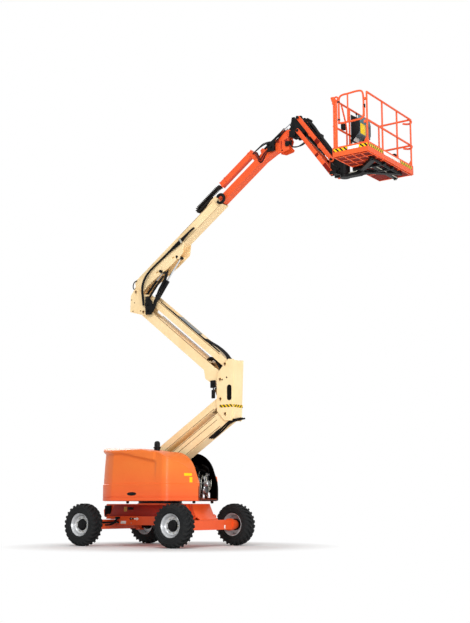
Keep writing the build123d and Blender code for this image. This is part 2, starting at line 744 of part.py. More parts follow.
with BuildPart() as jib_bracket:
    root_x, root_z = bracket_pivot
    # solid root inside the fly's nose plates
    slab([(root_x - 50, root_z + 20), (root_x + 10, root_z + 105), (root_x + 110, root_z + 160),
          (root_x + 170, root_z + 200), (root_x + 170, root_z - 130), (root_x + 60, root_z - 110),
          (root_x - 40, root_z - 40)], -62, 62)
    cross_pin(bracket_pivot, 58, -62, 62)
    # two cheeks that carry the jib pins
    twin_slab([(root_x + 145, root_z + 215), (root_x + 215, root_z + 298),
               (root_x + 300, root_z + 290), (root_x + 380, root_z + 60),
               (root_x + 380, root_z - 60), (root_x + 300, root_z - 140),
               (root_x + 145, root_z - 140)], 56, cheek_outer)
    # ears for the slave cylinder's eye
    twin_slab([(root_x + 10, root_z + 80), (root_x + 48, root_z + 318), (root_x + 112, root_z + 318),
               (root_x + 165, root_z + 190), (root_x + 150, root_z + 100)], 26, 44)
    bore(bracket_pivot, 26 + gap)
    twin_pin(jib_top, jib_pin_radius, 56, top_bar_outer + 8)
    twin_pin(jib_low, jib_pin_radius, 56, low_bar_outer + 8)
    cross_pin(jib_ram_foot, 16, -60, 60)
save(jib_bracket, "jib_bracket")

# name, near pin, far pin, inner face, outer face, side of the cross tube
for bar_name, start, end, inner, outer, tube_across in (
        ("jib_top_link", jib_top, jib_top_end, top_bar_inner, top_bar_outer, 78),
        ("jib_low_link", jib_low, jib_low_end, low_bar_inner, low_bar_outer, -84)):
    with BuildPart() as jib_link:
        twin_slab(strip(start, end, (0, jib_length), (-jib_bar_depth / 2, jib_bar_depth / 2)),
                  inner, outer)
        for point in (start, end):
            twin_pin(point, jib_bar_depth / 2, inner, outer)
            twin_pin(point, jib_pin_radius + gap, inner - 1, outer + 1, mode=Mode.SUBTRACT)
        for along in (470, 820):
            cross_pin(between(start, end, along, tube_across), 22, -inner, inner)
            twin_slab([between(start, end, along - 60, 0), between(start, end, along + 60, 0),
                       between(start, end, along + 26, tube_across * 1.25),
                       between(start, end, along - 26, tube_across * 1.25)], inner, outer)
    save(jib_link, bar_name)

hub_low = floor_z - 55         # underside of the rotator's housing
hub_height = 360
spindle_radius = 36
with BuildPart() as jib_end:
    end_x, end_z = jib_low_end
    hub_top = hub_low + hub_height
    twin_slab([(end_x - 50, end_z - 32), (end_x + 60, end_z - 32), (rotator_x, hub_low + 5),
               (rotator_x, hub_top - 5), (end_x + 60, end_z + jib_rise + 60),
               (end_x - 50, end_z + jib_rise + 50)], 56, cheek_outer)
    slab([(end_x + 85, end_z - 20), (rotator_x, hub_low + 5), (rotator_x, hub_top - 5),
          (end_x + 85, end_z + jib_rise + 30)], -56, 56)
    with Locations((rotator_x, 0, hub_low)):
        Cylinder(98, hub_height, align=(Align.CENTER, Align.CENTER, Align.MIN))
        Cylinder(spindle_radius + gap, 900, mode=Mode.SUBTRACT)
    twin_pin(jib_top_end, jib_pin_radius, 56, top_bar_outer + 8)
    # the low pins are held from outside, so that the top link can swing past them
    cheek_low, cheek_high = low_bar_outer + 4, low_bar_outer + 18
    twin_slab([(end_x + 56, end_z - 36), (end_x + 120, end_z - 30), (end_x + 120, end_z + 44),
               (end_x + 56, end_z + 44)], 50, cheek_high)
    twin_slab([(end_x - 26, end_z - 34), (end_x + 120, end_z - 34), (end_x + 120, end_z + 44),
               (end_x + 40, end_z + 44), (end_x - 26, end_z + 30)], cheek_low, cheek_high)
    twin_pin(jib_low_end, jib_pin_radius, low_bar_inner - 2, cheek_low)
save(jib_end, "jib_end")

# ---- platform ------------------------------------------------------------------------
far_x = near_x + platform_depth
half_wide = platform_width / 2
floor_top = floor_z + floor_thickness
rail_top = floor_top + rail_height - rail_radius
flange_low = floor_z - 115
flange_top = hub_low - side_gap
beam_low = floor_z - 70
beam_y = half_wide - 355

with BuildPart() as platform_support:
    with Locations((rotator_x, 0, flange_low)):
        Cylinder(95, flange_top - flange_low, align=(Align.CENTER, Align.CENTER, Align.MIN))
        Cylinder(spindle_radius, hub_top + 10 - flange_low,
                 align=(Align.CENTER, Align.CENTER, Align.MIN))
    with Locations((rotator_x, 0, hub_top + 5)):
        Cylinder(80, 20, align=(Align.CENTER, Align.CENTER, Align.MIN))
    # arm that drops under the floor
    slab([(rotator_x, flange_low), (near_x + 75, flange_low), (near_x + 165, beam_low - 5),
          (near_x + 165, floor_z), (near_x - 20, floor_z), (near_x - 40, flange_top),
          (rotator_x, flange_top)], -70, 70)
    # two spreading beams and a cross tube
    for side in (-1, 1):
        with BuildSketch(Plane.XY.offset(beam_low)):
            with BuildLine():
                Polyline((near_x + 20, side * 30), (near_x + 120, side * 10),
                         (far_x - 90, side * (beam_y - 90)), (far_x - 90, side * beam_y),
                         (far_x - 150, side * beam_y), close=True)
            make_face()
        extrude(amount=floor_z - beam_low)
    with Locations((far_x - 120, 0, floor_z - 35)):
        Cylinder(30, 2 * beam_y + 120, rotation=(90, 0, 0))
save(platform_support, "platform_support")

toe_wall = 5
toe_height = 150
with BuildPart() as platform_floor:
    with Locations(((near_x + far_x) / 2, 0, floor_z)):
        Box(platform_depth, platform_width, floor_thickness,
            align=(Align.CENTER, Align.CENTER, Align.MIN))
    with Locations(((near_x + far_x) / 2, 0, floor_top)):
        Box(platform_depth, platform_width, toe_height,
            align=(Align.CENTER, Align.CENTER, Align.MIN))
        Box(platform_depth - 2 * toe_wall, platform_width - 2 * toe_wall, toe_height + 1,
            align=(Align.CENTER, Align.CENTER, Align.MIN), mode=Mode.SUBTRACT)
save(platform_floor, "platform_floor")

gate_near_x = near_x + 95


def tube_run(points, radius):
    """A round tube along straight runs with mitred corners."""
    with BuildLine() as path:
        Polyline(*points)
    heading = Vector(*points[1]) - Vector(*points[0])
    with BuildSketch(Plane(origin=points[0], z_dir=heading)) as ring:
        Circle(radius)
    sweep(sections=ring.sketch, path=path.wires()[0], transition=Transition.RIGHT)


rail_in = rail_radius + 5
left, right = near_x + rail_in, far_x - rail_in
south, north = -half_wide + rail_in, half_wide - rail_in
mid_z = floor_top + 560
post_radius = rail_radius - 2
gate_radius = rail_radius - 3
gate_low, gate_high = floor_top + 430, rail_top - 20
hinge_x = right - rail_radius - 24
with BuildPart() as platform_rails:
    # two rails go round and stop at the gate's post
    for rail_z in (mid_z, rail_top):
        tube_run([(gate_near_x - 40, south, rail_z), (left, south, rail_z),
                  (left, north, rail_z), (right, north, rail_z), (right, south, rail_z)],
                 rail_radius)
    for post_x, post_y in ((left, south), (right, south), (left, north), (right, north),
                           (left, -post_spacing / 2), (left, post_spacing / 2),
                           (right, -post_spacing / 2), (right, post_spacing / 2),
                           (gate_near_x - 40, south)):
        with Locations((post_x, post_y, floor_top)):
            Cylinder(post_radius, rail_top - floor_top,
                     align=(Align.CENTER, Align.CENTER, Align.MIN))
    # eyes that the gate turns in
    for eye_z in (gate_low + 100, gate_high - 100):
        with Locations((hinge_x, south, eye_z)):
            Cylinder(gate_radius + 9, 40)
        with Locations(((hinge_x + right) / 2, south, eye_z)):
            Box(right - hinge_x, 16, 40)
        with Locations((hinge_x, south, eye_z)):
            Cylinder(gate_radius + gap, 60, mode=Mode.SUBTRACT)
save(platform_rails, "platform_rails")

with BuildPart() as platform_gate:
    tube_run([(hinge_x, south, gate_low), (hinge_x, south, gate_high),
              (gate_near_x + 90, south, gate_high), (gate_near_x + 30, south, gate_high - 110),
              (gate_near_x + 30, south, gate_low + 110), (gate_near_x + 90, south, gate_low),
              (hinge_x - 1, south, gate_low)], gate_radius)
save(platform_gate, "platform_gate")

console_x = left + rail_radius + gap
with BuildPart() as control_console:
    with BuildSketch(Plane.XZ.offset(-150)):
        with BuildLine():
            Polyline((console_x, mid_z - 120), (near_x + 210, mid_z - 120),
                     (near_x + 240, mid_z + 260), (near_x + 200, mid_z + 330),
                     (console_x, mid_z + 400), close=True)
        make_face()
    extrude(amount=460)
save(control_console, "control_console")
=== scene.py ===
import bpy
import json
import math
from mathutils import Matrix, Vector


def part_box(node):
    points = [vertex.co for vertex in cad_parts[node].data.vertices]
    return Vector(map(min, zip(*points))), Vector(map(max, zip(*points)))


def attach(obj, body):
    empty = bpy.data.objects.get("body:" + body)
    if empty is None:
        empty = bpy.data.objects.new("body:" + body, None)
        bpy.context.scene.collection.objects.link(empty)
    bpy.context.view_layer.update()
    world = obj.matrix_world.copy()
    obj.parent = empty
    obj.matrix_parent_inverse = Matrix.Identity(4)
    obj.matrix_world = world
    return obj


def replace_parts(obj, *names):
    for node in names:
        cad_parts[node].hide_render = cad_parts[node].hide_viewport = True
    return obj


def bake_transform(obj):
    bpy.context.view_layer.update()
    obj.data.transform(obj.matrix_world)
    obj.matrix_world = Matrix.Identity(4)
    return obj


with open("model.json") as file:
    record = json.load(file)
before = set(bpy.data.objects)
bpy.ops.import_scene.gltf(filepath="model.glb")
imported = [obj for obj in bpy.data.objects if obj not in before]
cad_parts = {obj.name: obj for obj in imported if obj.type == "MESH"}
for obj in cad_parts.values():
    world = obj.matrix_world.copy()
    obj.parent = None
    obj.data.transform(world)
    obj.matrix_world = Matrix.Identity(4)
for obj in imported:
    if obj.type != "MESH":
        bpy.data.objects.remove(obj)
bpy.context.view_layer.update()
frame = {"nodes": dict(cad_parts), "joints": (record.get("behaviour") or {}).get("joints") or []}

joints = {joint["name"]: joint for joint in frame["joints"]}
print("frame loaded:", len(frame["nodes"]), "pieces")


# small tools for choosing, placing and finishing pieces

def deselect():
    if bpy.context.object and bpy.context.object.mode != "OBJECT":
        bpy.ops.object.mode_set(mode="OBJECT")
    bpy.ops.object.select_all(action="DESELECT")


def choose(piece):
    deselect()
    piece.select_set(True)
    bpy.context.view_layer.objects.active = piece


def applyAll(piece):
    choose(piece)
    for modifier in list(piece.modifiers):
        bpy.ops.object.modifier_apply(modifier=modifier.name)


def applyPlace(piece):
    choose(piece)
    bpy.ops.object.transform_apply(location=True, rotation=True, scale=True)


def roundEdges(piece, edge, segments=2, angle=35):
    # small rolled edges catch the light as on pressed and welded plate
    if edge > 0:
        bevel = piece.modifiers.new("bevel", "BEVEL")
        bevel.width = edge
        bevel.segments = segments
        bevel.limit_method = "ANGLE"
        bevel.angle_limit = math.radians(angle)
        applyAll(piece)
    choose(piece)
    bpy.ops.object.shade_smooth_by_angle(angle=math.radians(38))


def fixNormals(piece):
    choose(piece)
    bpy.ops.object.mode_set(mode="EDIT")
    bpy.ops.mesh.select_all(action="SELECT")
    bpy.ops.mesh.remove_doubles(threshold=0.00001)
    bpy.ops.mesh.normals_make_consistent(inside=False)
    bpy.ops.object.mode_set(mode="OBJECT")


def addBox(low, high, edge=0.003):
    deselect()
    low, high = Vector(low), Vector(high)
    bpy.ops.mesh.primitive_cube_add(size=1, location=(low + high) / 2)
    piece = bpy.context.object
    piece.scale = high - low
    applyPlace(piece)
    roundEdges(piece, edge)
    return piece


def addRod(start, end, radius, sides=32, edge=0.002):
    deselect()
    start, end = Vector(start), Vector(end)
    turn = (end - start).to_track_quat("Z", "Y").to_euler()
    bpy.ops.mesh.primitive_cone_add(vertices=sides, radius1=radius, radius2=radius,
                                    depth=(end - start).length, location=(start + end) / 2, rotation=turn)
    piece = bpy.context.object
    applyPlace(piece)
    roundEdges(piece, edge)
    return piece


def addRing(centre, axis, radius, thickness, sides=48):
    deselect()
    turn = Vector(axis).to_track_quat("Z", "Y").to_euler()
    bpy.ops.mesh.primitive_torus_add(major_radius=radius, minor_radius=thickness, rotation=turn,
                                     major_segments=sides, minor_segments=14, location=centre)
    piece = bpy.context.object
    applyPlace(piece)
    bpy.ops.object.shade_smooth()
    return piece


def addPlate(corners, push, edge=0.002):
    # corners are points in space lying in one plane; push is how far and where the plate thickens
    deselect()
    bpy.ops.mesh.primitive_circle_add(vertices=len(corners), fill_type="NGON")
    piece = bpy.context.object
    piece.location = (0, 0, 0)
    for vertex, corner in zip(piece.data.vertices, corners):
        vertex.co = corner
    bpy.ops.object.mode_set(mode="EDIT")
    bpy.ops.mesh.select_all(action="SELECT")
    bpy.ops.mesh.extrude_region_move(TRANSFORM_OT_translate={"value": Vector(push)})
    bpy.ops.object.mode_set(mode="OBJECT")
    fixNormals(piece)
    roundEdges(piece, edge)
    return piece


def addHose(points, radius):
    # a hose follows a smooth line through its clips
    route = bpy.data.curves.new("hose", "CURVE")
    route.dimensions = "3D"
    spline = route.splines.new("NURBS")
    spline.points.add(len(points) - 1)
    for place, point in zip(spline.points, points):
        place.co = (*point, 1)
    spline.order_u = 3
    spline.use_endpoint_u = True
    route.resolution_u = 8
    route.bevel_depth = radius
    route.bevel_resolution = 4
    route.use_fill_caps = True
    piece = bpy.data.objects.new("hose", route)
    bpy.context.scene.collection.objects.link(piece)
    choose(piece)
    bpy.ops.object.convert(target="MESH")
    piece = bpy.context.object
    bpy.ops.object.shade_smooth_by_angle(angle=math.radians(50))
    return piece


def addLathe(profile, centre, axis="Y", steps=48, edge=0.0):
    # profile holds (radius, place along the axis): a closed section, or a line from the axis out and back
    deselect()
    centre = Vector(centre)
    along = {"X": Vector((1, 0, 0)), "Y": Vector((0, 1, 0)), "Z": Vector((0, 0, 1))}[axis]
    out = Vector((0, 0, 1)) if axis != "Z" else Vector((1, 0, 0))
    bpy.ops.mesh.primitive_circle_add(vertices=len(profile), fill_type="NOTHING")
    piece = bpy.context.object
    for vertex, (radius, place) in zip(piece.data.vertices, profile):
        vertex.co = centre + out * radius + along * place
    piece.location = (0, 0, 0)
    bpy.ops.object.mode_set(mode="EDIT")
    bpy.ops.mesh.select_all(action="SELECT")
    bpy.ops.mesh.spin(steps=steps, angle=2 * math.pi, center=centre, axis=along)
    bpy.ops.object.mode_set(mode="OBJECT")
    fixNormals(piece)
    roundEdges(piece, edge)
    return piece


def ringOf(piece, count, name):
    # copies of one piece, evenly round the Y axis, joined into one
    pieces = [piece]
    for number in range(1, count):
        twin = copyOf(piece, name)
        twin.data.transform(Matrix.Rotation(2 * math.pi * number / count, 4, "Y"))
        pieces.append(twin)
    return joinAll(name, pieces)


def mirrored(piece, name):
    # a copy on the far side of the centre plane
    twin = copyOf(piece, name)
    twin.data.transform(Matrix.Scale(-1, 4, Vector((0, 1, 0))))
    fixNormals(twin)
    return twin


def joinAll(name, pieces):
    deselect()
    for piece in pieces:
        piece.select_set(True)
    bpy.context.view_layer.objects.active = pieces[0]
    if len(pieces) > 1:
        bpy.ops.object.join()
    pieces[0].name = name
    return pieces[0]


def copyOf(piece, name):
    twin = piece.copy()
    twin.data = piece.data.copy()
    twin.name = name
    bpy.context.scene.collection.objects.link(twin)
    return twin


def dress(piece, body, material):
    piece.data.materials.clear()
    piece.data.materials.append(material)
    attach(piece, body)
    return piece


def trim(name, pieces, body, look):
    return dress(joinAll(name, pieces), body, finish[look])


# sets of like pieces, one from each row of values; place turns a row's point into a place in space

def boxes(rows, place=Vector):
    return [addBox(place(low), place(high), *edge) for low, high, *edge in rows]


def rods(rows, place=Vector):
    return [addRod(place(start), place(end), *rest) for start, end, *rest in rows]


def hoses(rows, place=Vector):
    return [addHose([place(point) for point in route], radius) for radius, *route in rows]


def turnings(rows, place=Vector):
    return [addLathe(profile, place(centre), *rest) for profile, centre, *rest in rows]


def atY(points, y):
    # points of the XZ plane at one place across
    return [(x, y, z) for x, z in points]


def sideStrip(at, span, lifts, across):
    # corners of a strip that runs along a line and stands on its side
    return [at(span[0], lifts[0], across), at(span[1], lifts[0], across),
            at(span[1], lifts[1], across), at(span[0], lifts[1], across)]


def flatStrip(at, span, lift, acrosses):
    # corners of a strip that runs along a line and lies flat
    return [at(span[0], lift, acrosses[0]), at(span[1], lift, acrosses[0]),
            at(span[1], lift, acrosses[1]), at(span[0], lift, acrosses[1])]


def endStrip(at, along, lifts, half):
    # corners of a rectangle square to a line
    return [at(along, lifts[0], -half), at(along, lifts[1], -half), at(along, lifts[1], half),
            at(along, lifts[0], half)]


# materials

def fromHex(code):
    # an sRGB hex colour as the linear numbers that a shader takes
    channels = [int(code[i:i + 2], 16) / 255 for i in (1, 3, 5)]
    return [c / 12.92 if c <= 0.04045 else ((c + 0.055) / 1.055) ** 2.4 for c in channels] + [1]


def addNode(tree, kind, values=None, links=None):
    node = tree.nodes.new(kind)
    for key, value in (values or {}).items():
        if isinstance(key, str) and hasattr(node, key):
            setattr(node, key, value)
        else:
            node.inputs[key].default_value = value
    for key, source in (links or {}).items():
        tree.links.new(source, node.inputs[key])
    return node


def newMaterial(name):
    material = bpy.data.materials.new(name)
    material.use_nodes = True
    tree = material.node_tree
    tree.nodes.clear()
    shader = addNode(tree, "ShaderNodeBsdfPrincipled")
    addNode(tree, "ShaderNodeOutputMaterial", links={"Surface": shader.outputs["BSDF"]})
    place = addNode(tree, "ShaderNodeTexCoord").outputs["Object"]
    return material, tree, shader, place


def makeFinish(name, look):
    # a surface of two close shades in clouds, specks of wear, a fine grain in gloss and in relief
    material, tree, shader, place = newMaterial(name)
    cloud = addNode(tree, "ShaderNodeTexNoise", {"Scale": look.get("cloudScale", 2.5), "Detail": 4.0,
                                                 "Roughness": 0.6}, {"Vector": place})
    tone = addNode(tree, "ShaderNodeMix", {"data_type": "RGBA", 6: fromHex(look["colour"]),
                                           7: fromHex(look["shade"])})
    spread = addNode(tree, "ShaderNodeMapRange", {1: 0.35, 2: 0.72}, {0: cloud.outputs["Fac"]})
    tree.links.new(spread.outputs[0], tone.inputs[0])
    speck = addNode(tree, "ShaderNodeTexNoise", {"Scale": look.get("speckScale", 45.0), "Detail": 3.0},
                    {"Vector": place})
    edge = look.get("speckAmount", 0.1)
    chip = addNode(tree, "ShaderNodeMapRange",
                   {1: 0.74 - edge, 2: 0.80 - edge * 0.6, 4: look.get("speckFade", 0.35)},
                   {0: speck.outputs["Fac"]})
    worn = addNode(tree, "ShaderNodeMix", {"data_type": "RGBA", 7: fromHex(look.get("speck", look["shade"]))},
                   {0: chip.outputs[0], 6: tone.outputs[2]})
    paint = worn.outputs[2]
    # painted shade: where a look asks for it, the colour turns redder low on the piece
    if "paintedLowShade" in look:
        height = addNode(tree, "ShaderNodeSeparateXYZ", links={0: place})
        fade = addNode(tree, "ShaderNodeMapRange",
                       {1: look["lowFrom"], 2: look["lowTo"], 3: look["lowAmount"], 4: 0.0},
                       {0: height.outputs["Z"]})
        paint = addNode(tree, "ShaderNodeMix", {"data_type": "RGBA", 7: fromHex(look["paintedLowShade"])},
                        {0: fade.outputs[0], 6: paint}).outputs[2]
    tree.links.new(paint, shader.inputs["Base Color"])
    grain = addNode(tree, "ShaderNodeTexNoise", {"Scale": 1000 / look.get("grainMm", 6), "Detail": 2.0},
                    {"Vector": place})
    rough = look["roughness"]
    gloss = addNode(tree, "ShaderNodeMapRange", {1: 0.3, 2: 0.7, 3: rough * 0.85, 4: min(1.0, rough * 1.2)},
                    {0: speck.outputs["Fac"]})
    tree.links.new(gloss.outputs[0], shader.inputs["Roughness"])
    bump = addNode(tree, "ShaderNodeBump",
                   {"Strength": look.get("relief", 0.15), "Distance": look.get("reliefMm", 0.4) / 1000},
                   {"Height": grain.outputs["Fac"]})
    tree.links.new(bump.outputs["Normal"], shader.inputs["Normal"])
    shader.inputs["Metallic"].default_value = look.get("metal", 0.0)
    shader.inputs["Coat Weight"].default_value = look.get("coat", 0.0)
    shader.inputs["Coat Roughness"].default_value = look.get("coatRoughness", 0.12)
    if not look.get("metal"):
        shader.inputs["Specular IOR Level"].default_value = look.get("gleam", 0.28)
    return material


finishLooks = {
    # polyester powder coat on steel: even colour, soft gloss, faint orange peel
    "orangePowderCoat": {"colour": "#ec5c28", "shade": "#e45223", "speck": "#d8441a", "roughness": 0.38,
                         "coat": 0.08, "grainMm": 14, "relief": 0.04},
    "creamPowderCoat": {"colour": "#f9deae", "shade": "#f4d29c", "speck": "#e6bf88", "roughness": 0.42,
                        "coat": 0.05, "grainMm": 14, "relief": 0.03},
    "blackPowderCoat": {"colour": "#0b0b0c", "shade": "#111113", "speck": "#242326", "roughness": 0.45,
                        "gleam": 0.14, "grainMm": 6, "relief": 0.08},
    # gel coat on moulded fibreglass: glossy, slightly uneven, with painted shade that turns it redder towards the
    # bottom
    "hoodGelCoat": {"colour": "#ec7a30", "shade": "#e87029", "speck": "#da6220", "roughness": 0.44,
                    "coat": 0.05, "cloudScale": 1.2, "grainMm": 16, "relief": 0.06, "reliefMm": 0.8,
                    "gleam": 0.26, "paintedLowShade": "#f0572a", "lowFrom": 0.90, "lowTo": 1.55, "lowAmount": 0.75},
    # black lining inside the hoods, also used as painted shade in holes and slots
    "darkLiningAndHoleShade": {"colour": "#0c0b0c", "shade": "#131212", "speck": "#1e1c1d", "roughness": 0.85, "grainMm": 8,
                 "relief": 0.4, "reliefMm": 1.5, "gleam": 0.08},
    # painted shade: orange paint in shadow as a darker brick red, under the floor and on the jib bars
    "darkShadeRed": {"colour": "#7d1a0c", "shade": "#6b150a", "speck": "#4c0f06", "roughness": 0.6, "grainMm": 8,
                  "gleam": 0.1, "relief": 0.05},
    # cast and machined engine metals
    "greyCastIron": {"colour": "#4a4b4e", "shade": "#3a3a3d", "speck": "#77787b", "roughness": 0.55,
                     "metal": 0.6, "grainMm": 3, "relief": 0.5, "reliefMm": 0.8},
    "castAluminium": {"colour": "#e4e6e8", "shade": "#cfd1d4", "speck": "#9b9da0", "roughness": 0.34,
                      "metal": 0.75, "grainMm": 3, "relief": 0.4, "reliefMm": 0.6},
    "zincPlate": {"colour": "#c5c3b8", "shade": "#aaa899", "speck": "#82806f", "roughness": 0.32,
                  "metal": 0.95, "grainMm": 2},
    "chromedRod": {"colour": "#dfe3e6", "shade": "#d2d7db", "speck": "#b6bbc0", "roughness": 0.09,
                   "metal": 1.0, "relief": 0.02, "grainMm": 2},
    # silver wheel enamel
    "wheelEnamel": {"colour": "#d4d6d8", "shade": "#bfc1c4", "speck": "#8e8c88", "roughness": 0.34,
                    "metal": 0.35, "coat": 0.3, "speckAmount": 0.13, "grainMm": 4},
    "tyreRubber": {"colour": "#1f2021", "shade": "#28292a", "speck": "#484641", "roughness": 0.78,
                   "gleam": 0.12, "speckAmount": 0.14, "speckScale": 26.0, "grainMm": 5, "relief": 0.5,
                   "reliefMm": 0.9},
    "hoseRubber": {"colour": "#0b0b0b", "shade": "#121212", "speck": "#242322", "roughness": 0.5,
                   "grainMm": 5, "relief": 0.12, "gleam": 0.14},
    "nylonTrack": {"colour": "#1b1816", "shade": "#2b2623", "speck": "#4a413b", "roughness": 0.6,
                   "grainMm": 6, "relief": 0.1, "gleam": 0.15},
    "greyConsole": {"colour": "#5c6468", "shade": "#4f575b", "speck": "#3d4346", "roughness": 0.5,
                    "grainMm": 2, "relief": 0.5, "reliefMm": 0.3},
    "tealLid": {"colour": "#4f7480", "shade": "#456873", "speck": "#37545d", "roughness": 0.45, "grainMm": 2,
                "relief": 0.4, "reliefMm": 0.3},
    # printed vinyl with nothing on it
    "yellowVinyl": {"colour": "#f8d312", "shade": "#f2c908", "speck": "#d8ab00", "roughness": 0.35,
                    "grainMm": 9},
    "whiteVinyl": {"colour": "#f3f1ec", "shade": "#e9e6df", "speck": "#cfcac0", "roughness": 0.35,
                   "grainMm": 9},
    "blackVinyl": {"colour": "#0c0c0d", "shade": "#121213", "speck": "#1e1e1f", "roughness": 0.35,
                   "grainMm": 9, "gleam": 0.12},
    # a dark red for painted shade and for red parts such as the stop button, a fixed tan plate, dark brown for
    # painted shade along seams, also on small pin heads and marks, and a grey cover
    "shadeAndPartsRed": {"colour": "#a3230f", "shade": "#8b1b0c", "speck": "#5f1208", "roughness": 0.5, "grainMm": 4},
    "tanPlate": {"colour": "#c79a52", "shade": "#b58743", "speck": "#8d672e", "roughness": 0.45,
                 "grainMm": 6},
    "seamBrown": {"colour": "#6d4a22", "shade": "#5c3c19", "speck": "#3c270f", "roughness": 0.6,
                  "grainMm": 3},
    "greyCover": {"colour": "#868a8b", "shade": "#7c8081", "speck": "#88898a", "roughness": 0.5,
                  "grainMm": 5},
}
finish = {name: makeFinish(name, look) for name, look in finishLooks.items()}


def makeStripes(name, direction, widthMm):
    # slanting black and yellow bars of warning tape, set out along one direction
    material, tree, shader, place = newMaterial(name)
    along = addNode(tree, "ShaderNodeVectorMath", {"operation": "DOT_PRODUCT", 1: direction}, {0: place})
    beat = addNode(tree, "ShaderNodeMath", {"operation": "MULTIPLY", 1: 1000 / (2 * widthMm)},
                   {0: along.outputs["Value"]})
    part = addNode(tree, "ShaderNodeMath", {"operation": "FRACT"}, {0: beat.outputs[0]})
    bar = addNode(tree, "ShaderNodeMath", {"operation": "GREATER_THAN", 1: 0.5}, {0: part.outputs[0]})
    worn = addNode(tree, "ShaderNodeTexNoise", {"Scale": 30.0}, {"Vector": place})
    yellow = addNode(tree, "ShaderNodeMix",
                     {"data_type": "RGBA", 6: fromHex("#f7cf10"), 7: fromHex("#eab907")},
                     {0: worn.outputs["Fac"]})
    tone = addNode(tree, "ShaderNodeMix", {"data_type": "RGBA", 7: fromHex("#121213")},
                   {0: bar.outputs[0], 6: yellow.outputs[2]})
    tree.links.new(tone.outputs[2], shader.inputs["Base Color"])
    shader.inputs["Roughness"].default_value = 0.38
    shader.inputs["Specular IOR Level"].default_value = 0.2
    return material


def makeTreadPlate(name):
    # rolled aluminium plate with crossing raised lozenges, 28 mm apart
    material, tree, shader, place = newMaterial(name)
    turned = addNode(tree, "ShaderNodeMapping", {"Rotation": (0, 0, math.radians(45)), "Scale": (36, 36, 36)},
                     {"Vector": place})
    weave = addNode(tree, "ShaderNodeTexChecker", {"Scale": 1.0}, {"Vector": turned.outputs[0]})
    bars = addNode(tree, "ShaderNodeTexWave", {"Scale": 0.9, "bands_direction": "X"},
                   {"Vector": turned.outputs[0]})
    crossBars = addNode(tree, "ShaderNodeTexWave", {"Scale": 0.9, "bands_direction": "Y"},
                        {"Vector": turned.outputs[0]})
    lozenge = addNode(tree, "ShaderNodeMix", {"data_type": "FLOAT"},
                      {0: weave.outputs["Fac"], 2: bars.outputs["Fac"], 3: crossBars.outputs["Fac"]})
    dirt = addNode(tree, "ShaderNodeTexNoise", {"Scale": 9.0, "Detail": 5.0}, {"Vector": place})
    tone = addNode(tree, "ShaderNodeMix", {"data_type": "RGBA", 6: fromHex("#9b9c9c"), 7: fromHex("#6b665f")},
                   {0: dirt.outputs["Fac"]})
    tree.links.new(tone.outputs[2], shader.inputs["Base Color"])
    bump = addNode(tree, "ShaderNodeBump", {"Strength": 0.7, "Distance": 0.0015},
                   {"Height": lozenge.outputs[0]})
    tree.links.new(bump.outputs["Normal"], shader.inputs["Normal"])
    shader.inputs["Metallic"].default_value = 0.85
    shader.inputs["Roughness"].default_value = 0.45
    return material


treadPlate = makeTreadPlate("rolledTreadPlate")
print("materials made:", len(finish) + 1)


# places taken from the frame

def pin(jointName):
    return Vector(joints[jointName]["pos_m"])


def ruler(start, heading):
    # measures along and square to a line in the XZ plane, and across it along Y
    start, heading = Vector(start), Vector(heading).normalized()
    square = Vector((-heading.z, 0, heading.x))

    def at(along, lift=0.0, across=0.0):
        point = start + heading * along + square * lift
        return Vector((point.x, point.y + across, point.z))
    at.heading, at.square = heading, square
    return at


onBoom = ruler(pin("boom_lift"), joints["telescope"]["axis"])
armKnee, upperKnee = pin("mid_upright_level"), pin("upper_arm_swing")
onLowerArm = ruler(pin("tower_lift"), armKnee - pin("tower_lift"))
onLowerLink = ruler(pin("lower_link_swing"), armKnee - pin("tower_lift"))
onUpperArm = ruler(upperKnee, pin("upper_upright_level") - upperKnee)
onUpperLink = ruler(pin("upper_link_swing"), pin("upper_upright_level") - upperKnee)
jibHeading = pin("jib_end_level") - pin("jib_lift")
onJibTop = ruler(pin("jib_lift"), jibHeading)
onJibLow = ruler(pin("jib_low_link_swing"), jibHeading)
rams = {name: ruler(pin(name + "_swing"), joints[name + "_stroke"]["axis"])
        for name in ("lift_ram", "level_ram")}
wheels = [joint["child"] for joint in frame["joints"] if joint["child"].startswith("wheel_")]

nodeFinish = {"orangePowderCoat": ["chassis_frame", "drive_axle", "steer_axle", "boom_fly", "jib_top_link",
                                   "jib_low_link", "platform_rails", "platform_gate", "turntable_frame",
                                   "hose_tube", "platform_floor"],
              "creamPowderCoat": ["lower_arm", "lower_link", "mid_upright", "upper_arm", "upper_link",
                                  "upper_upright", "boom_base"],
              "blackPowderCoat": ["knuckle_near", "knuckle_far", "tie_rod", "slew_ring", "counterweight",
                                  "fluid_tank", "vent_stack", "jib_bracket", "jib_end", "platform_support",
                                  "tower_ram_barrel", "lift_ram_barrel", "level_ram_barrel",
                                  "slave_ram_barrel", "jib_ram_barrel"],
              "chromedRod": ["tower_ram_rod", "lift_ram_rod", "level_ram_rod", "slave_ram_rod",
                             "jib_ram_rod"], "hoodGelCoat": ["hood_near", "hood_far"],
              "greyCastIron": ["engine"], "greyConsole": ["control_console"],
              "wheelEnamel": [node for node in frame["nodes"] if node.startswith("rim_")],
              "tyreRubber": [node for node in frame["nodes"] if node.startswith("tyre_")]}
for look, names in nodeFinish.items():
    for name in names:
        node = frame["nodes"][name]
        node.data.materials.clear()
        node.data.materials.append(finish[look])
        node.data.shade_smooth()
        choose(node)
        bpy.ops.object.shade_smooth_by_angle(angle=math.radians(30))
deselect()
print("carried-over pieces finished")


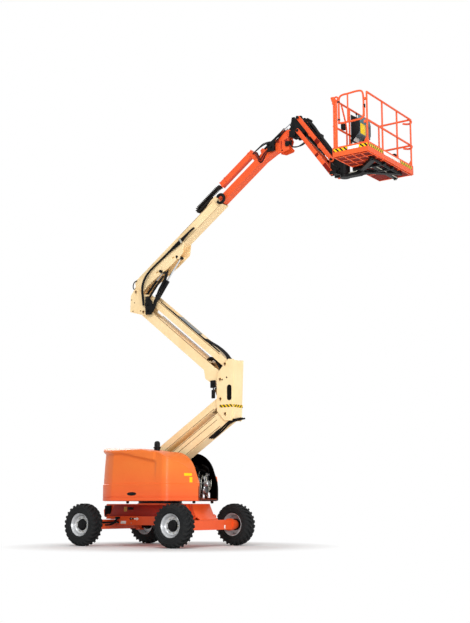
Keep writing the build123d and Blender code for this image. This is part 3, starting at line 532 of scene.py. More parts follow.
# wheels: bar-lug tyres on deep silver rims, with the black drive hub in the middle
tyreLook = {"lugs": 26, "lugHalfWidth": 0.021, "lugRise": 0.03, "lean": 0.55,
            "sidewallRings": (0.262, 0.30, 0.335)}
rimLook = {"studs": 9, "studCircle": 0.136, "hubRadius": 0.104}
tyreLow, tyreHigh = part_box("tyre_drive_near")
tyreRadius = (tyreHigh[2] - tyreLow[2]) / 2
tyreHalf = (tyreHigh[1] - tyreLow[1]) / 2
rimLow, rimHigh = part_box("rim_drive_near")
rimRadius = (rimHigh[2] - rimLow[2]) / 2
rimHalf = (rimHigh[1] - rimLow[1]) / 2


def makeTyre():
    crown = tyreRadius - tyreLook["lugRise"]
    half = tyreHalf
    side = [(rimRadius + 0.001, half - 0.034), (rimRadius + 0.016, half - 0.02),
            (rimRadius + 0.03, half - 0.012)]
    for ring in tyreLook["sidewallRings"]:
        side += [(ring - 0.007, half - 0.010), (ring - 0.003, half - 0.004), (ring + 0.003, half - 0.004),
                 (ring + 0.007, half - 0.010)]
    side += [(crown - 0.035, half - 0.016), (crown - 0.012, half - 0.035), (crown - 0.002, half - 0.062),
             (crown, half - 0.10)]
    profile = side + [(radius, -place) for radius, place in reversed(side)]
    carcass = addLathe(profile, (0, 0, 0), "Y", 96)
    # one lug: over the crown from the middle to the shoulder, leaning back like a chevron
    path = [(0.006, tyreRadius), (0.045, tyreRadius), (half - 0.062, tyreRadius - 0.002),
            (half - 0.03, tyreRadius - 0.018), (half - 0.012, tyreRadius - 0.048),
            (half - 0.010, tyreRadius - 0.085)]
    deselect()
    bpy.ops.mesh.primitive_grid_add(x_subdivisions=len(path) - 1, y_subdivisions=1, size=2)
    lug = bpy.context.object
    columns = sorted({round(vertex.co.x, 4) for vertex in lug.data.vertices})
    for vertex in lug.data.vertices:
        step = columns.index(round(vertex.co.x, 4))
        place, radius = path[step]
        width = tyreLook["lugHalfWidth"] * (1.25 if step in (0, len(path) - 1) else 1.0)
        lag = (place * tyreLook["lean"] + vertex.co.y * width) / tyreRadius
        vertex.co = (radius * math.sin(lag), place, radius * math.cos(lag))
    choose(lug)
    bpy.ops.object.mode_set(mode="EDIT")
    bpy.ops.mesh.select_all(action="SELECT")
    bpy.ops.mesh.extrude_region_move(TRANSFORM_OT_translate={"value": (0, -0.012, -0.045)})
    bpy.ops.mesh.select_all(action="SELECT")
    bpy.ops.mesh.normals_make_consistent(inside=False)
    bpy.ops.object.mode_set(mode="OBJECT")
    roundEdges(lug, 0.004, 1, 50)
    nearLugs = ringOf(lug, tyreLook["lugs"], "nearLugs")
    farLugs = mirrored(nearLugs, "farLugs")
    farLugs.data.transform(Matrix.Rotation(math.pi / tyreLook["lugs"], 4, "Y"))
    return joinAll("tyreModel", [carcass, nearLugs, farLugs])


def makeRim():
    # section of the rim, its outer side towards -Y
    half, well = rimHalf, rimRadius - 0.034
    section = [(rimRadius, half - 0.010), (rimRadius - 0.008, half - 0.004),
               (rimRadius - 0.016, half - 0.016), (well - 0.006, half - 0.066), (well - 0.012, half - 0.09),
               (well - 0.012, 0.06), (well - 0.02, 0.045), (0.160, 0.034), (0.100, 0.030), (0.100, 0.018),
               (0.150, 0.020), (well - 0.004, 0.030), (well, 0.05), (well, half - 0.06),
               (rimRadius - 0.004, half - 0.03)]
    outer = addLathe([(radius, -place) for radius, place in section], (0, 0, 0), "Y", 72)
    inner = addLathe([(rimRadius, half - 0.010), (rimRadius - 0.010, half - 0.006), (well, half - 0.06),
                      (well, -0.03), (well + 0.005, -0.03), (well + 0.005, half - 0.062),
                      (rimRadius - 0.002, half - 0.03)], (0, 0, 0), "Y", 72)
    return joinAll("rimModel", [outer, inner])


def makeHub():
    r = rimLook["hubRadius"]
    hub = addLathe([(0, -0.0915), (0.03, -0.0915), (0.034, -0.088), (0.052, -0.088), (0.056, -0.080),
                    (r - 0.012, -0.074), (r - 0.004, -0.066), (r, -0.05), (r, -0.032), (r + 0.012, -0.031),
                    (r + 0.012, 0.02), (0, 0.02)], (0, 0, 0), "Y", 48)
    bolt = addRod((0.078, -0.083, 0), (0.078, -0.07, 0), 0.0065, 6, 0.001)
    bolts = ringOf(bolt, 10, "hubBolts")
    return joinAll("hubModel", [hub, bolts])


def makeStuds():
    place = rimLook["studCircle"]
    nut = addRod((place, -0.052, 0), (place, -0.031, 0), 0.013, 6, 0.0015)
    tip = addRod((place, -0.062, 0), (place, -0.05, 0), 0.007, 10, 0.001)
    return ringOf(joinAll("stud", [nut, tip]), rimLook["studs"], "studModel")


wheelModels = {"tyre": (makeTyre(), "tyreRubber"), "rim": (makeRim(), "wheelEnamel"),
               "hub": (makeHub(), "blackPowderCoat"), "studs": (makeStuds(), "zincPlate")}
for wheel in wheels:
    corner = wheel.removeprefix("wheel_")
    low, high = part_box("tyre_" + corner)
    middle = (Vector(low) + Vector(high)) / 2
    for part, (model, look) in wheelModels.items():
        piece = copyOf(model, f"{part}.{corner}")
        if middle.y > 0:
            piece.data.transform(Matrix.Rotation(math.pi, 4, "Z"))
        piece.data.transform(Matrix.Translation(middle))
        dress(piece, wheel, finish[look])
        if part in ("tyre", "rim"):
            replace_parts(piece, f"{part}_{corner}")
for model, look in wheelModels.values():
    bpy.data.objects.remove(model)
print("wheels built")


# hoods: moulded fibreglass shells, panelled sides under a rounded shoulder
hoodLook = {"wall": 0.018, "shoulder": 0.045, "belt": 1.21, "beltStep": 0.016, "panelDepth": 0.05,
            "panelEnd": 0.76, "grooves": (0.949, 0.972), "columns": 150, "turnRows": 6, "roofRows": 14,
            "farSweep": 0.75, "cornerX": 0.96, "cornerRun": 0.045, "cornerIn": 0.05,
            "tailMiddle": (-0.9985, 0.552), "tailEnd": -0.353, "roofHigh": 1.977, "roofDrop": 0.109,
            "roofStart": 0.54, "roofWidth": 0.55, "ridgeHigh": 1.953}
hoodLow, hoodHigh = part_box("hood_near")
slotHalf, hoodSide = -hoodHigh[1], -hoodLow[1]
hoodBottom, hoodFront = hoodLow[2], hoodHigh[0]
tailX = hoodLow[0]


def arcThrough(a, b, c, steps):
    # points on the circle through three places
    (ax, ay), (bx, by), (cx, cy) = a, b, c
    d = 2 * (ax * (by - cy) + bx * (cy - ay) + cx * (ay - by))
    ux = ((ax * ax + ay * ay) * (by - cy) + (bx * bx + by * by) * (cy - ay)
          + (cx * cx + cy * cy) * (ay - by)) / d
    uy = ((ax * ax + ay * ay) * (cx - bx) + (bx * bx + by * by) * (ax - cx)
          + (cx * cx + cy * cy) * (bx - ax)) / d
    radius = math.hypot(ax - ux, ay - uy)
    start, middle, end = (math.atan2(y - uy, x - ux) for x, y in (a, b, c))
    middle = start + (middle - start + math.pi) % (2 * math.pi) - math.pi
    end = middle + (end - middle + math.pi) % (2 * math.pi) - math.pi
    return [(ux + radius * math.cos(start + (end - start) * n / steps),
             uy + radius * math.sin(start + (end - start) * n / steps)) for n in range(steps + 1)]


def spread(points, count):
    # evenly spaced places along a line of points
    lengths = [0.0]
    for (ax, ay), (bx, by) in zip(points, points[1:]):
        lengths.append(lengths[-1] + math.hypot(bx - ax, by - ay))
    places, leg = [], 0
    for number in range(count + 1):
        want = lengths[-1] * number / count
        while leg < len(points) - 2 and lengths[leg + 1] < want:
            leg += 1
        part = (want - lengths[leg]) / (lengths[leg + 1] - lengths[leg])
        places.append(tuple(a + (b - a) * part for a, b in zip(points[leg], points[leg + 1])))
    return places


def levelAt(points, x):
    # the height of a line of (x, z) points at x
    for (ax, az), (bx, bz) in zip(points, points[1:]):
        if x <= bx:
            return az + (bz - az) * max(0.0, (x - ax) / (bx - ax))
    return points[-1][1]


def blend(low, high, value):
    # 0 below low, 1 above high, and smooth between them
    part = min(1.0, max(0.0, (value - low) / (high - low)))
    return part * part * (3 - 2 * part)


ridgeLine = ([(-1.30, 1.862), (-1.06, 1.953), (0.2, 1.902), (0.6, 1.842)]
             + arcThrough((0.6, 1.842), (0.958, 1.722), (1.122, 1.468), 14)[1:]
             + [(1.202, 1.268), (1.272, 1.16)])


def hoodPlan(sweep):
    # the outline of one hood seen from above, from its tail to the slot
    run, cut = hoodLook["cornerRun"], hoodLook["cornerIn"]
    side = hoodLook["cornerX"] if sweep == 0 else hoodFront - sweep * (hoodSide - cut - slotHalf) - run
    tail = arcThrough((tailX, slotHalf), hoodLook["tailMiddle"], (hoodLook["tailEnd"], hoodSide), 30)
    corner = []
    marks = ((side - 0.09, hoodSide), (side, hoodSide), (side + run, hoodSide - cut),
             (side + run + (hoodFront - side - run) * 0.12,
              hoodSide - cut - (hoodSide - cut - slotHalf) * 0.12))
    for number in range(13):
        t = number / 12
        weights = ((1 - t) ** 3, 3 * t * (1 - t) ** 2, 3 * t * t * (1 - t), t ** 3)
        corner.append(tuple(sum(w * mark[k] for w, mark in zip(weights, marks)) for k in (0, 1)))
    return spread(tail + corner + [(hoodFront, slotHalf)], hoodLook["columns"])


def hoodTop(x, y, sweep):
    # the ridge line seen from the side, under the slant of the roof across the width
    across = (y - (hoodSide - hoodLook["roofStart"])) / hoodLook["roofWidth"]
    roof = hoodLook["roofHigh"] - hoodLook["roofDrop"] * across
    return min(levelAt(ridgeLine, x + sweep * (y - slotHalf)), roof, hoodLook["ridgeHigh"]) - 0.001


def makeHood(name, side, sweep):
    plan = hoodPlan(sweep)
    count = hoodLook["columns"]
    grooves, belt, beltStep = hoodLook["grooves"], hoodLook["belt"], hoodLook["beltStep"]
    turnRows, roofRows = hoodLook["turnRows"], hoodLook["roofRows"]
    low = [hoodBottom, hoodBottom + 0.004]
    low += [mark + step for mark in grooves for step in (-0.005, -0.003, 0.003, 0.005)]
    low += [1.08, 1.18] + [belt + step for step in (-0.006, 0, 0.006, 0.02)]
    upper = [0.15, 0.3, 0.45, 0.6, 0.75, 0.88, 0.96, 1.0]
    band = [0.12, 0.3, 0.6, 1.0]
    rows = len(low) + len(upper) + len(band) + turnRows + roofRows
    deselect()
    bpy.ops.mesh.primitive_grid_add(x_subdivisions=count, y_subdivisions=rows - 1, size=2)
    piece = bpy.context.object
    piece.name = name
    for vertex in piece.data.vertices:
        column = round((vertex.co.x + 1) / 2 * count)
        row = round((vertex.co.y + 1) / 2 * (rows - 1))
        x, y = plan[column]
        ahead, behind = plan[min(count, column + 1)], plan[max(0, column - 1)]
        inward = Vector((ahead[1] - behind[1], behind[0] - ahead[0])).normalized()
        shoulder = hoodLook["shoulder"] * min(1.0, (y - slotHalf) / 0.05)
        insideX, insideY = x + inward.x * shoulder, max(slotHalf, y + inward.y * shoulder)
        reach = hoodTop(insideX, insideY, sweep) - shoulder
        panel = 1 - blend(hoodLook["panelEnd"] - 0.06, hoodLook["panelEnd"], x)
        crease = min(reach - 0.05, 1.815 - 0.2 * min(1.0, max(0.0, x + 0.28)))
        if row < len(low):
            z = min(low[row], hoodBottom + (low[row] - hoodBottom) * (reach - hoodBottom) / 0.36)
        elif row < len(low) + len(upper):
            start = min(low[-1], reach - 0.01)
            z = start + (max(start, crease) - start) * upper[row - len(low)]
        else:
            step = min(row - len(low) - len(upper), len(band) - 1)
            z = max(crease, low[-1]) + (reach - max(crease, low[-1])) * band[step]
            z = max(z, min(low[-1], reach - 0.01))
        depth = beltStep * blend(belt - 0.004, belt + 0.008, z)
        rise = min(1.0, max(0.0, (z - belt) / (crease - belt))) if crease > 1.3 else 0
        depth += panel * (hoodLook["panelDepth"] - beltStep) * rise ** 1.3
        depth *= 1 - panel * blend(crease - 0.004, crease + 0.05, z)
        depth += 0.004 * sum(1 for mark in grooves if abs(z - mark) < 0.0035 and row < 10)
        depth *= min(1.0, (y - slotHalf) / 0.04 + (0.3 if x < 0 else 0.0))
        turn = row - (rows - turnRows - roofRows)
        if turn < 0:
            px, py = x + inward.x * depth, y + inward.y * depth
        elif turn < turnRows:
            angle = (turn + 1) / turnRows * math.pi / 2
            inset = max(depth * (1 - turn / (turnRows - 1)), shoulder * (1 - math.cos(angle)))
            px, py = x + inward.x * inset, y + inward.y * inset
            z = reach + shoulder * math.sin(angle)
        else:
            part = (turn - turnRows + 1) / roofRows
            px, py = insideX, insideY + (slotHalf - insideY) * part
            z = hoodTop(px, max(slotHalf, py), sweep)
        vertex.co = (px, side * max(slotHalf, py), z)
    fixNormals(piece)
    choose(piece)
    probe = piece.data.polygons[(rows - 1) // 4 * count + count // 2]
    if probe.normal.y * side < 0:
        bpy.ops.object.mode_set(mode="EDIT")
        bpy.ops.mesh.select_all(action="SELECT")
        bpy.ops.mesh.flip_normals()
        bpy.ops.object.mode_set(mode="OBJECT")
    shell = piece.modifiers.new("wall", "SOLIDIFY")
    shell.thickness = hoodLook["wall"] - 0.006
    shell.offset = -1
    shell.material_offset = 1
    shell.material_offset_rim = 1
    return piece


def skinHood(piece, node, body):
    piece.data.materials.clear()
    piece.data.materials.append(finish["hoodGelCoat"])
    piece.data.materials.append(finish["darkLiningAndHoleShade"])
    applyAll(piece)
    bpy.ops.object.shade_smooth_by_angle(angle=math.radians(32))
    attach(piece, body)
    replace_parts(piece, node)


skinHood(makeHood("hoodShell.near", -1, 0.0), "hood_near", "hood_near")
skinHood(makeHood("hoodShell.far", 1, hoodLook["farSweep"]), "hood_far", "hood_far")
print("hoods built")


# the stack, feet, latch and blank labels of the turntable
def frontFace(part, z, lift):
    # a place on the slanted front of the near hood: part runs from its corner to the slot
    corner = Vector((hoodLook["cornerX"] + hoodLook["cornerRun"], -hoodSide + hoodLook["cornerIn"], z))
    edge = Vector((hoodFront, -slotHalf, z))
    out = Vector((corner.y - edge.y, edge.x - corner.x, 0)).normalized() * -1
    return corner.lerp(edge, part) + out * (lift - hoodLook["beltStep"])


turntableLook = {
    "footSize": 0.045, "footDrop": 0.045, "footTop": 0.886, "footBolt": (0.836, 0.842), "rubber": 0.011,
    "feet": ((-0.56, -0.36), (-0.18, -0.36), (1.08, -0.3), (1.08, 0.3)), "latch": (0.165, 1.02, 0.118, 0.034),
    "rubberIn": 0.012, "rubberBack": ((0.2, 1.902), (-0.4, 1.926), (-0.98, 1.948)),
    "sillLow": 0.888, "sillBack": 0.30, "sillThick": 0.03}
stackLow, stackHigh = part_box("vent_stack")
stackMiddle = (Vector(stackLow) + Vector(stackHigh)) / 2
stackBase = Vector((stackMiddle.x, stackMiddle.y, 0))
stack = addLathe([(0, 1.80), (0.060, 1.80), (0.060, 1.925), (0.066, 1.93), (0.066, 1.942), (0.058, 1.948),
                  (0.058, 2.0), (0.054, 2.028), (0.042, 2.047), (0.022, 2.056), (0, 2.058)], stackBase, "Z",
                 40)
collar = addRing((stackMiddle.x, stackMiddle.y, 1.925), (0, 0, 1), 0.066, 0.012)
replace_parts(trim("stackModel", [stack, collar], "hood_near", "blackPowderCoat"), "vent_stack")
feet = []
top, size = turntableLook["footTop"], turntableLook["footSize"] / 2
boltLow, boltHigh = turntableLook["footBolt"]
for x, y in turntableLook["feet"]:
    feet.append(addBox((x - size, y - size, top - turntableLook["footDrop"]), (x + size, y + size, top),
                       0.004))
    feet.append(addRod((x, y, boltLow), (x, y, boltHigh), 0.012, 6, 0.001))
trim("turntableFeet", feet, "turntable", "blackPowderCoat")
latchX, latchZ, latchWide, latchTall = turntableLook["latch"]
latch = addRod((latchX, -hoodSide + 0.010, latchZ), (latchX, -hoodSide - 0.004, latchZ), latchTall, 40, 0.003)
latch.data.transform(Matrix.Translation((latchX, 0, 0))
                     @ Matrix.Scale(latchWide / latchTall, 4, Vector((1, 0, 0)))
                     @ Matrix.Translation((-latchX, 0, 0)))
handle = addBox((latchX - 0.055, -hoodSide - 0.010, latchZ - 0.008),
                (latchX + 0.055, -hoodSide - 0.002, latchZ + 0.014), 0.004)
trim("hoodLatch", [latch, handle], "hood_near", "blackVinyl")
farLatch = mirrored(bpy.data.objects["hoodLatch"], "farHoodLatch")
dress(farLatch, "hood_far", finish["blackVinyl"])


def frontLabel(name, start, end, low, high, look):
    corners = [frontFace(start, low, 0.0005), frontFace(end, low, 0.0005), frontFace(end, high, 0.0005),
               frontFace(start, high, 0.0005)]
    push = frontFace(0.5, 1, 0.003) - frontFace(0.5, 1, 0.0005)
    trim(name, [addPlate(corners, push, 0.0005)], "hood_near", look)


frontLabel("yellowLabel.1", 0.53, 0.77, 1.365, 1.415, "yellowVinyl")
frontLabel("yellowLabel.2", 0.70, 0.79, 1.24, 1.34, "yellowVinyl")
for side, body in ((-1, "hood_near"), (1, "hood_far")):
    y = side * (slotHalf + turntableLook["rubberIn"])
    rim = [(hoodFront - 0.008, y, hoodBottom + 0.01 + 0.05 * n) for n in range(5)]
    rim += [(min(x - 0.012, hoodFront - 0.010), y, z - 0.012) for x, z in reversed(ridgeLine[3:])]
    rim += [(x, y, z - 0.014) for x, z in turntableLook["rubberBack"]]
    trim("slotRubber." + body, [addHose(rim, turntableLook["rubber"])], body, "hoseRubber")
back, low = hoodFront - turntableLook["sillBack"], turntableLook["sillLow"]
sill = addPlate([(back, -slotHalf, low), (hoodFront, -slotHalf, low), (hoodFront, slotHalf, low),
                 (back, slotHalf, low)], (0, 0, turntableLook["sillThick"]), 0.003)
trim("slotSill", [sill], "turntable", "blackPowderCoat")
print("turntable trim built")


# engine bay seen through the slot: places are measured from the engine's front near bottom corner
engineLow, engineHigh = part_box("engine")
bayCorner = Vector((engineHigh[0], engineLow[1], engineLow[2]))
back = engineLow[0] - engineHigh[0]


def inBay(point):
    return bayCorner + Vector(point)


bayLook = {
    # low corner, high corner, edge
    "castings": [((back + 0.02, 0.02, 0.10), (-0.10, 0.40, 0.34), 0.012),
                 ((back + 0.05, 0.06, 0.34), (-0.14, 0.34, 0.46), 0.015),
                 ((back + 0.08, 0.05, 0.01), (-0.16, 0.36, 0.11), 0.02)],
    "ribs": {"count": 9, "pitch": 0.07, "start": back + 0.08},
    "studs": {"count": 6, "pitch": 0.07, "start": -0.46},
    "metalBoxes": [((-0.52, 0.10, 0.46), (-0.18, 0.24, 0.52), 0.02),
                   ((-0.02, -0.03, 0.14), (-0.008, 0.12, 0.36), 0.003)],
    "airBoxAndWall": [((-0.30, -0.03, 0.56), (0.02, 0.20, 0.68), 0.025),
                      ((-0.55, 0.36, 0.02), (-0.02, 0.38, 0.66), 0.004)],
    "frontBoxes": [((0.16, -0.02, 0.06), (0.20, 0.14, 0.46), 0.01),
                   ((0.10, -0.07, 0.05), (0.115, -0.02, 0.42), 0.003),
                   ((0.22, 0.0, 0.46), (0.29, 0.07, 0.52), 0.012)],
    # profile, middle, axis, steps, edge
    "turnedMetal": [([(0, -0.02), (0.075, -0.02), (0.08, -0.012), (0.07, 0), (0.08, 0.012), (0.075, 0.02),
                      (0, 0.02)], (-0.06, 0.14, 0.20), "X", 40, 0.002),
                    ([(0, -0.06), (0.05, -0.06), (0.062, -0.05), (0.062, 0.05), (0.05, 0.06), (0, 0.06)],
                     (-0.02, 0.05, 0.30), "X", 32, 0.003),
                    ([(0, 0), (0.042, 0), (0.044, 0.01), (0.044, 0.11), (0.036, 0.122), (0, 0.122)],
                     (0.02, 0.03, 0.12), "Z", 32, 0.003)],
    "frontTurned": [([(0, -0.02), (0.085, -0.02), (0.09, -0.012), (0.078, 0), (0.09, 0.012), (0.085, 0.02),
                      (0.03, 0.024), (0, 0.024)], (0.24, -0.005, 0.20), "X", 40),
                    ([(0, -0.016), (0.055, -0.016), (0.06, -0.01), (0.05, 0), (0.06, 0.01), (0.055, 0.016),
                      (0, 0.016)], (0.24, -0.02, 0.40), "X", 32),
                    ([(0, -0.05), (0.045, -0.05), (0.058, -0.04), (0.058, 0.04), (0.045, 0.05), (0, 0.05)],
                     (0.30, -0.06, 0.31), "X", 28, 0.002),
                    ([(0, 0), (0.034, 0), (0.036, 0.01), (0.036, 0.10), (0.028, 0.112), (0, 0.112)],
                     (0.33, -0.04, 0.02), "Z", 28),
                    ([(0, 0), (0.030, 0), (0.032, 0.01), (0.032, 0.075), (0.02, 0.085), (0, 0.085)],
                     (0.22, -0.07, 0.01), "Z", 28)],
    # radius, then the route
    "rubberLines": [(0.020, (-0.02, 0.02, 0.50), (0.10, -0.02, 0.50), (0.20, -0.03, 0.40),
                     (0.20, -0.02, 0.25), (0.10, 0, 0.16)),
                    (0.009, (-0.10, -0.01, 0.44), (0.02, -0.05, 0.42), (0.12, -0.04, 0.30),
                     (0.06, -0.03, 0.20), (-0.05, -0.02, 0.16)),
                    (0.012, (-0.30, -0.02, 0.36), (-0.12, -0.05, 0.33), (0.05, -0.06, 0.38),
                     (0.16, -0.05, 0.46))],
    "steelLine": [(0.008, (0.05, -0.04, 0.12), (0.12, -0.06, 0.22), (0.05, -0.06, 0.34),
                   (-0.05, -0.03, 0.40))],
    "frontPipes": [(0.009, (0.30, -0.08, 0.06), (0.36, -0.08, 0.14), (0.36, -0.07, 0.26), (0.30, -0.08, 0.36),
                    (0.26, -0.05, 0.47)),
                   (0.008, (0.14, -0.09, 0.10), (0.20, -0.10, 0.22), (0.16, -0.09, 0.34),
                    (0.20, -0.07, 0.48)),
                   (0.010, (0.34, -0.02, 0.18), (0.39, -0.02, 0.27), (0.37, -0.02, 0.38)),
                   (0.005, (0.12, -0.08, 0.30), (0.10, -0.09, 0.45), (0.13, -0.09, 0.56))],
    "beltAndHoses": [(0.006, (0.24, 0.08, 0.18), (0.24, 0.06, 0.30), (0.24, 0.03, 0.42), (0.24, -0.04, 0.46),
                      (0.24, -0.09, 0.38), (0.24, -0.11, 0.28), (0.24, -0.09, 0.18), (0.24, -0.02, 0.105)),
                     (0.020, (0.26, 0.03, 0.50), (0.33, -0.02, 0.56), (0.30, -0.07, 0.64),
                      (0.18, -0.06, 0.68)),
                     (0.010, (0.02, -0.09, 0.60), (0.12, -0.10, 0.55), (0.20, -0.10, 0.60),
                      (0.28, -0.08, 0.54))],
    # start, end, radius, sides, edge
    "tensioner": [((-0.03, 0.10, 0.10), (0.03, 0.10, 0.10), 0.03, 24, 0.003)],
    "senders": [((0.10, -0.05, 0.08), (0.10, -0.01, 0.08), 0.022, 6, 0.002),
                ((-0.02, -0.05, 0.52), (-0.02, -0.01, 0.52), 0.018, 12, 0.002)],
    "tag": [((0.02, -0.045, 0.02), (0.14, -0.03, 0.05), 0.003)]}
row = bayLook["ribs"]
ribs = [((x, 0.008, 0.13), (x + 0.012, 0.024, 0.32), 0.003)
        for x in (row["start"] + n * row["pitch"] for n in range(row["count"]))]
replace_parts(trim("engineBlock", boxes(bayLook["castings"] + ribs, inBay), "turntable", "greyCastIron"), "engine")
row = bayLook["studs"]
studs = [((x, 0.05, 0.40), (x, 0.01, 0.40), 0.010, 6, 0.001)
         for x in (row["start"] + n * row["pitch"] for n in range(row["count"]))]
trim("engineMetal", turnings(bayLook["turnedMetal"], inBay) + boxes(bayLook["metalBoxes"], inBay)
     + rods(bayLook["tensioner"] + studs, inBay), "turntable", "castAluminium")
trim("engineHoses", hoses(bayLook["rubberLines"], inBay) + boxes(bayLook["airBoxAndWall"], inBay)
     + [addRing(inBay((0, 0.12, 0.22)), (1, 0, 0), 0.10, 0.007)], "turntable", "hoseRubber")
trim("engineFittings", hoses(bayLook["steelLine"], inBay) + rods(bayLook["senders"], inBay)
     + boxes(bayLook["tag"], inBay)
     + [addRing(inBay((0.18, -0.03, 0.42)), (0.3, 0, -1), 0.024, 0.005, 24),
        addRing(inBay((0.10, 0, 0.17)), (1, 0, 0.6), 0.024, 0.005, 24)], "turntable", "zincPlate")
# accessories bolted across the front of the engine, bright against the dark bay
bolts = [((0.205, y, z), (0.215, y, z), 0.009, 6, 0.001)
         for y, z in ((-0.01 + 0.03 * (n % 2), 0.09 + 0.08 * n) for n in range(5))]
trim("frontAccessories", turnings(bayLook["frontTurned"], inBay) + boxes(bayLook["frontBoxes"], inBay)
     + rods(bolts, inBay), "turntable", "castAluminium")
trim("brightPipes", hoses(bayLook["frontPipes"], inBay), "turntable", "zincPlate")
trim("frontHoses", hoses(bayLook["beltAndHoses"], inBay), "turntable", "hoseRubber")
tankLow, tankHigh = (Vector(corner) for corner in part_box("fluid_tank"))
tank = addBox(tankLow + Vector((0.004, 0.004, 0)), tankHigh - Vector((0.004, 0.004, 0.02)), 0.035)
capX, capY = tankLow.x + 0.2, -0.66
tankCap = addRod((capX, capY, tankHigh.z - 0.025), (capX, capY, tankHigh.z), 0.05, 24, 0.004)
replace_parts(trim("tankModel", [tank, tankCap], "turntable", "blackPowderCoat"), "fluid_tank")
print("engine bay built")


# chassis: recess panels, steering gear, blank plates and the plain double arrow
chassisLook = {"half": 0.40, "recess": 0.355, "noseHalf": 0.30, "louvre": (-1.195, -1.035, 0.565, 0.80),
               "fins": 7, "arrowMiddle": -0.352, "arrowZ": 0.535, "arrowShaft": 0.07, "arrowTip": 0.125,
               "shaftHalf": 0.014, "headHalf": 0.036,
               "recessOutline": [(-1.03, 0.586), (1.03, 0.586), (0.925, 0.806), (-0.925, 0.806)],
               "apron": [(1.022, 0.829), (1.132, 0.60), (1.228, 0.535), (1.228, 0.517), (1.09, 0.585),
                         (1.0, 0.829)],
               "steeringHoses": [(0.013, (-1.10, -0.46, 0.405), (-1.02, -0.45, 0.408), (-0.90, -0.45, 0.425),
                                  (-0.84, -0.44, 0.475), (-0.78, -0.425, 0.54)),
                                 (0.010, (-1.10, -0.43, 0.40), (-0.98, -0.42, 0.40), (-0.86, -0.42, 0.43),
                                  (-0.80, -0.42, 0.50), (-0.75, -0.42, 0.55))],
               "valve": [((-0.83, -0.432, 0.53), (-0.72, -0.402, 0.572), 0.006)]}
half, recess, noseHalf = chassisLook["half"], chassisLook["recess"], chassisLook["noseHalf"]
# painted shade: dark red panels in the side recesses, where the hoods' shadow falls
panels = [addPlate(atY(chassisLook["recessOutline"], side * (recess + 0.001)), (0, side * 0.002, 0), 0.0005)
          for side in (-1, 1)]
trim("recessPanels", panels, "chassis", "shadeAndPartsRed")
left, right, low, high = chassisLook["louvre"]
fins = [addBox((left, -noseHalf - 0.03, low), (right, -noseHalf - 0.001, high), 0.006)]
for n in range(chassisLook["fins"]):
    x = left + 0.012 + n * (right - left - 0.024) / (chassisLook["fins"] - 1)
    fins.append(addBox((x - 0.004, -noseHalf - 0.045, low + 0.008),
                       (x + 0.004, -noseHalf - 0.028, high - 0.008), 0.002))
trim("louvredBox", fins, "chassis", "blackPowderCoat")
y = -half - 0.0005
x, z = chassisLook["arrowMiddle"], chassisLook["arrowZ"]
shaft, tip = chassisLook["arrowShaft"], chassisLook["arrowTip"]
thin, wide = chassisLook["shaftHalf"], chassisLook["headHalf"]
for name, way, look in (("arrowBlack", -1, "blackVinyl"), ("arrowWhite", 1, "whiteVinyl")):
    outline = [(x, z - thin), (x, z + thin), (x + way * shaft, z + thin), (x + way * shaft, z + wide),
               (x + way * tip, z), (x + way * shaft, z - wide), (x + way * shaft, z - thin)]
    trim(name, [addPlate(atY(outline, y), (0, -0.001, 0), 0)], "chassis", look)
trim("blankPlate.side", [addBox((-0.70, y - 0.002, 0.436), (-0.56, y, 0.490), 0.0006)], "chassis",
     "whiteVinyl")
y = -recess - 0.003
trim("blankPlate.recess", [addBox((-0.655, y - 0.002, 0.68), (-0.575, y, 0.775), 0.0006)], "chassis",
     "tanPlate")
trim("levelGauge", [addBox((-0.54, y - 0.018, 0.715), (-0.40, y, 0.765), 0.006),
                    addRod((-0.47, y - 0.022, 0.74), (-0.47, y, 0.74), 0.018, 24, 0.002)],
     "chassis", "blackPowderCoat")
trim("steeringHoses", hoses(chassisLook["steeringHoses"]) + boxes(chassisLook["valve"]), "chassis",
     "hoseRubber")
bolts = [addRod((-0.80, -half - 0.008, 0.455), (-0.80, -half, 0.455), 0.014, 6, 0.001)]
for end in (-1, 1):
    x = end * 0.62 + 0.2
    for side in (-1, 1):
        bolts += [addRod((x, side * (half + 0.007), z), (x, side * half, z), 0.012, 6, 0.001)
                  for z in (0.45, 0.54)]
trim("chassisBolts", bolts, "chassis", "zincPlate")
apron = addPlate(atY(chassisLook["apron"], -noseHalf - 0.001), (0, 2 * noseHalf + 0.002, 0), 0.003)
trim("drivenEndApron", [apron], "chassis", "orangePowderCoat")
trim("blankPlate.axle", [addBox((1.2355, 0.50, 0.345), (1.237, 0.545, 0.415), 0.0005)], "chassis",
     "whiteVinyl")
capProfile = [(0, -0.012), (0.09, -0.012), (0.105, -0.006), (0.105, 0.006), (0, 0.006)]
caps = [addLathe(capProfile, (1.15, side * 0.84, 0.42), "Y", 32, 0.002) for side in (-1, 1)]
trim("motorFlanges", caps, "chassis", "orangePowderCoat")
print("chassis trim built")
